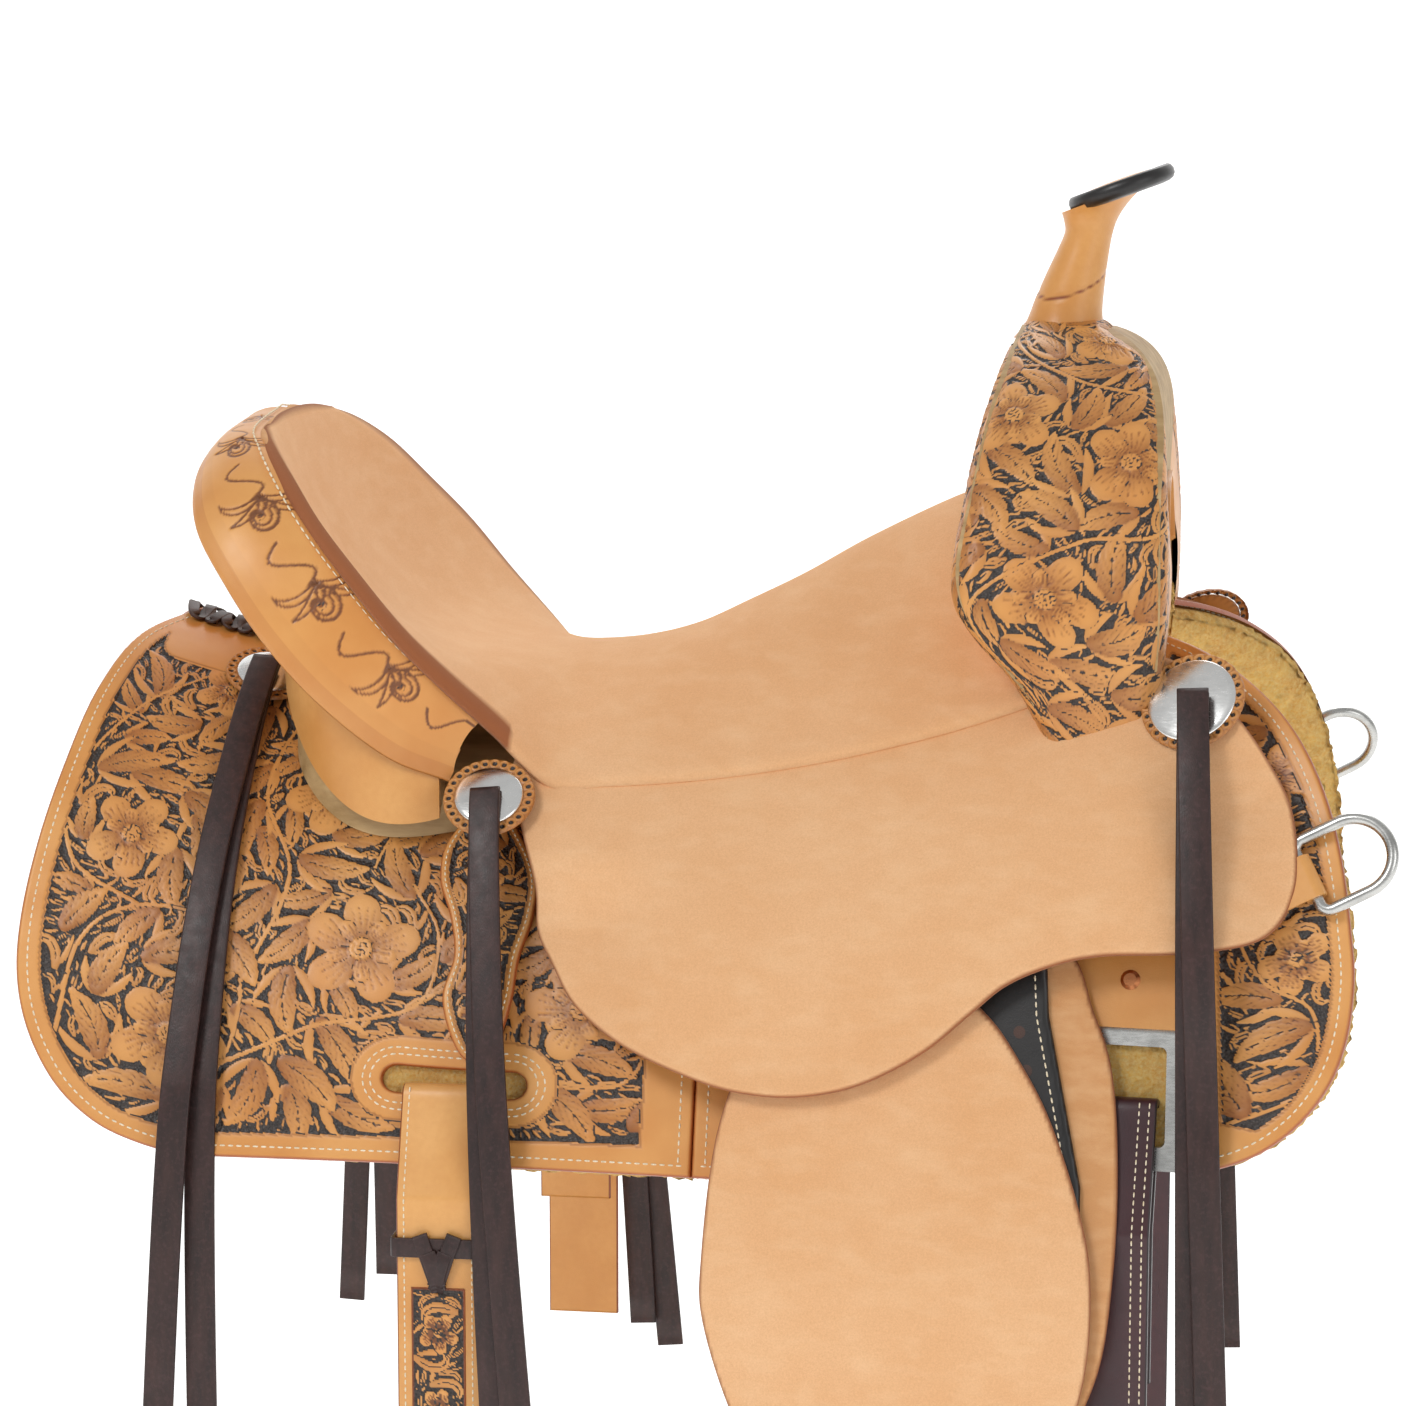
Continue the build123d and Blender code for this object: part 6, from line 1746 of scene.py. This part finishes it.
def add_lacing():
    verts, faces, base = [], [], 0
    for phase in (0, 1):
        xs = np.linspace(-229, -275, 60)
        y = 14.5 * np.sin((xs + 229) / 46 * 5 * pi + phase * pi)
        lift = 2.3 + 1.3 * np.sin((xs + 229) / 46 * 10 * pi + phase * pi)
        z = np.array([crest_z(x, abs(w), h) for x, w, h in zip(xs, y, lift)])
        path = dense(np.stack([xs, y, z], 1), 3)
        ahead = np.gradient(path, axis=0)
        ahead /= np.linalg.norm(ahead, axis=1)[:, None]
        across = np.cross(ahead, [0.25, 0, 1.0])
        across /= np.linalg.norm(across, axis=1)[:, None]
        v, f, _ = ribbon(path, across, 3.2, 0.9, 0.5)
        faces += [g + base if isinstance(g, np.ndarray) else tuple(i + base for i in g) for g in f]
        verts.append(v)
        base += len(v)
    make("skirt_lacing", np.vstack(verts), faces, DARK, "saddle", ["skirt_lacing"])


def crest_z(x, half, off):
    """Height of the shell beside the spine."""
    slope = np.arcsin((half + CREST_Y) / (SECTION_R + off))
    reach = SPINE_R + CREST_DEPTH - (SECTION_R + off) * cos(slope)
    return AXIS_Z - sqrt(reach**2 - (x - SPINE_X)**2)


def add_pad():
    low, high = (np.array(v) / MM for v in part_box("seat_pad"))
    bpy.data.objects["seat_pad"].material_slots[0].material = FELT


DRESS = {
    "tree_bars": WOOD, "tree_fork": WOOD, "tree_cantle": WOOD, "gullet_cover": TAN, "cantle_back": TAN,
    "ground_seat": BACKED, "rigging_rivets": COPPER, "rigging_plates": STEEL, "rigging_panels": TAN,
    "dee_keepers": TAN, "breast_dee": STEEL, "buckle": STEEL, "hobble_strap": TAN, "stirrup_core": WOOD,
    "stirrup_cover": TAN, "stirrup_bolt": STEEL, "stirrup_tread": BLACK, "seat_pad": FELT,
}


def dress_cad():
    for node, mat in DRESS.items():
        for name in (node, node + "_right", node + "_left"):
            obj = bpy.data.objects.get(name)
            if obj and obj.material_slots:
                for slot in obj.material_slots:
                    slot.material = mat


def add_panel_stitches():
    lines = []
    for x0, z0, x1, z1 in ((202, -76, 262, -78), (286, -90, 287, -132), (207, -90, 225, -93)):
        lines.append(straight((x0, z0), (x1, z1), 2.0))
    pairs = [skirt_line(line, -1, 3.2) for line in lines]
    stitches("panel_stitches", [p[0] for p in pairs], [p[1] for p in pairs], "saddle", 4.0, 2.8, 0.45)


add_billets()
add_fender()
add_wool()
add_lacing()
dress_cad()
add_panel_stitches()
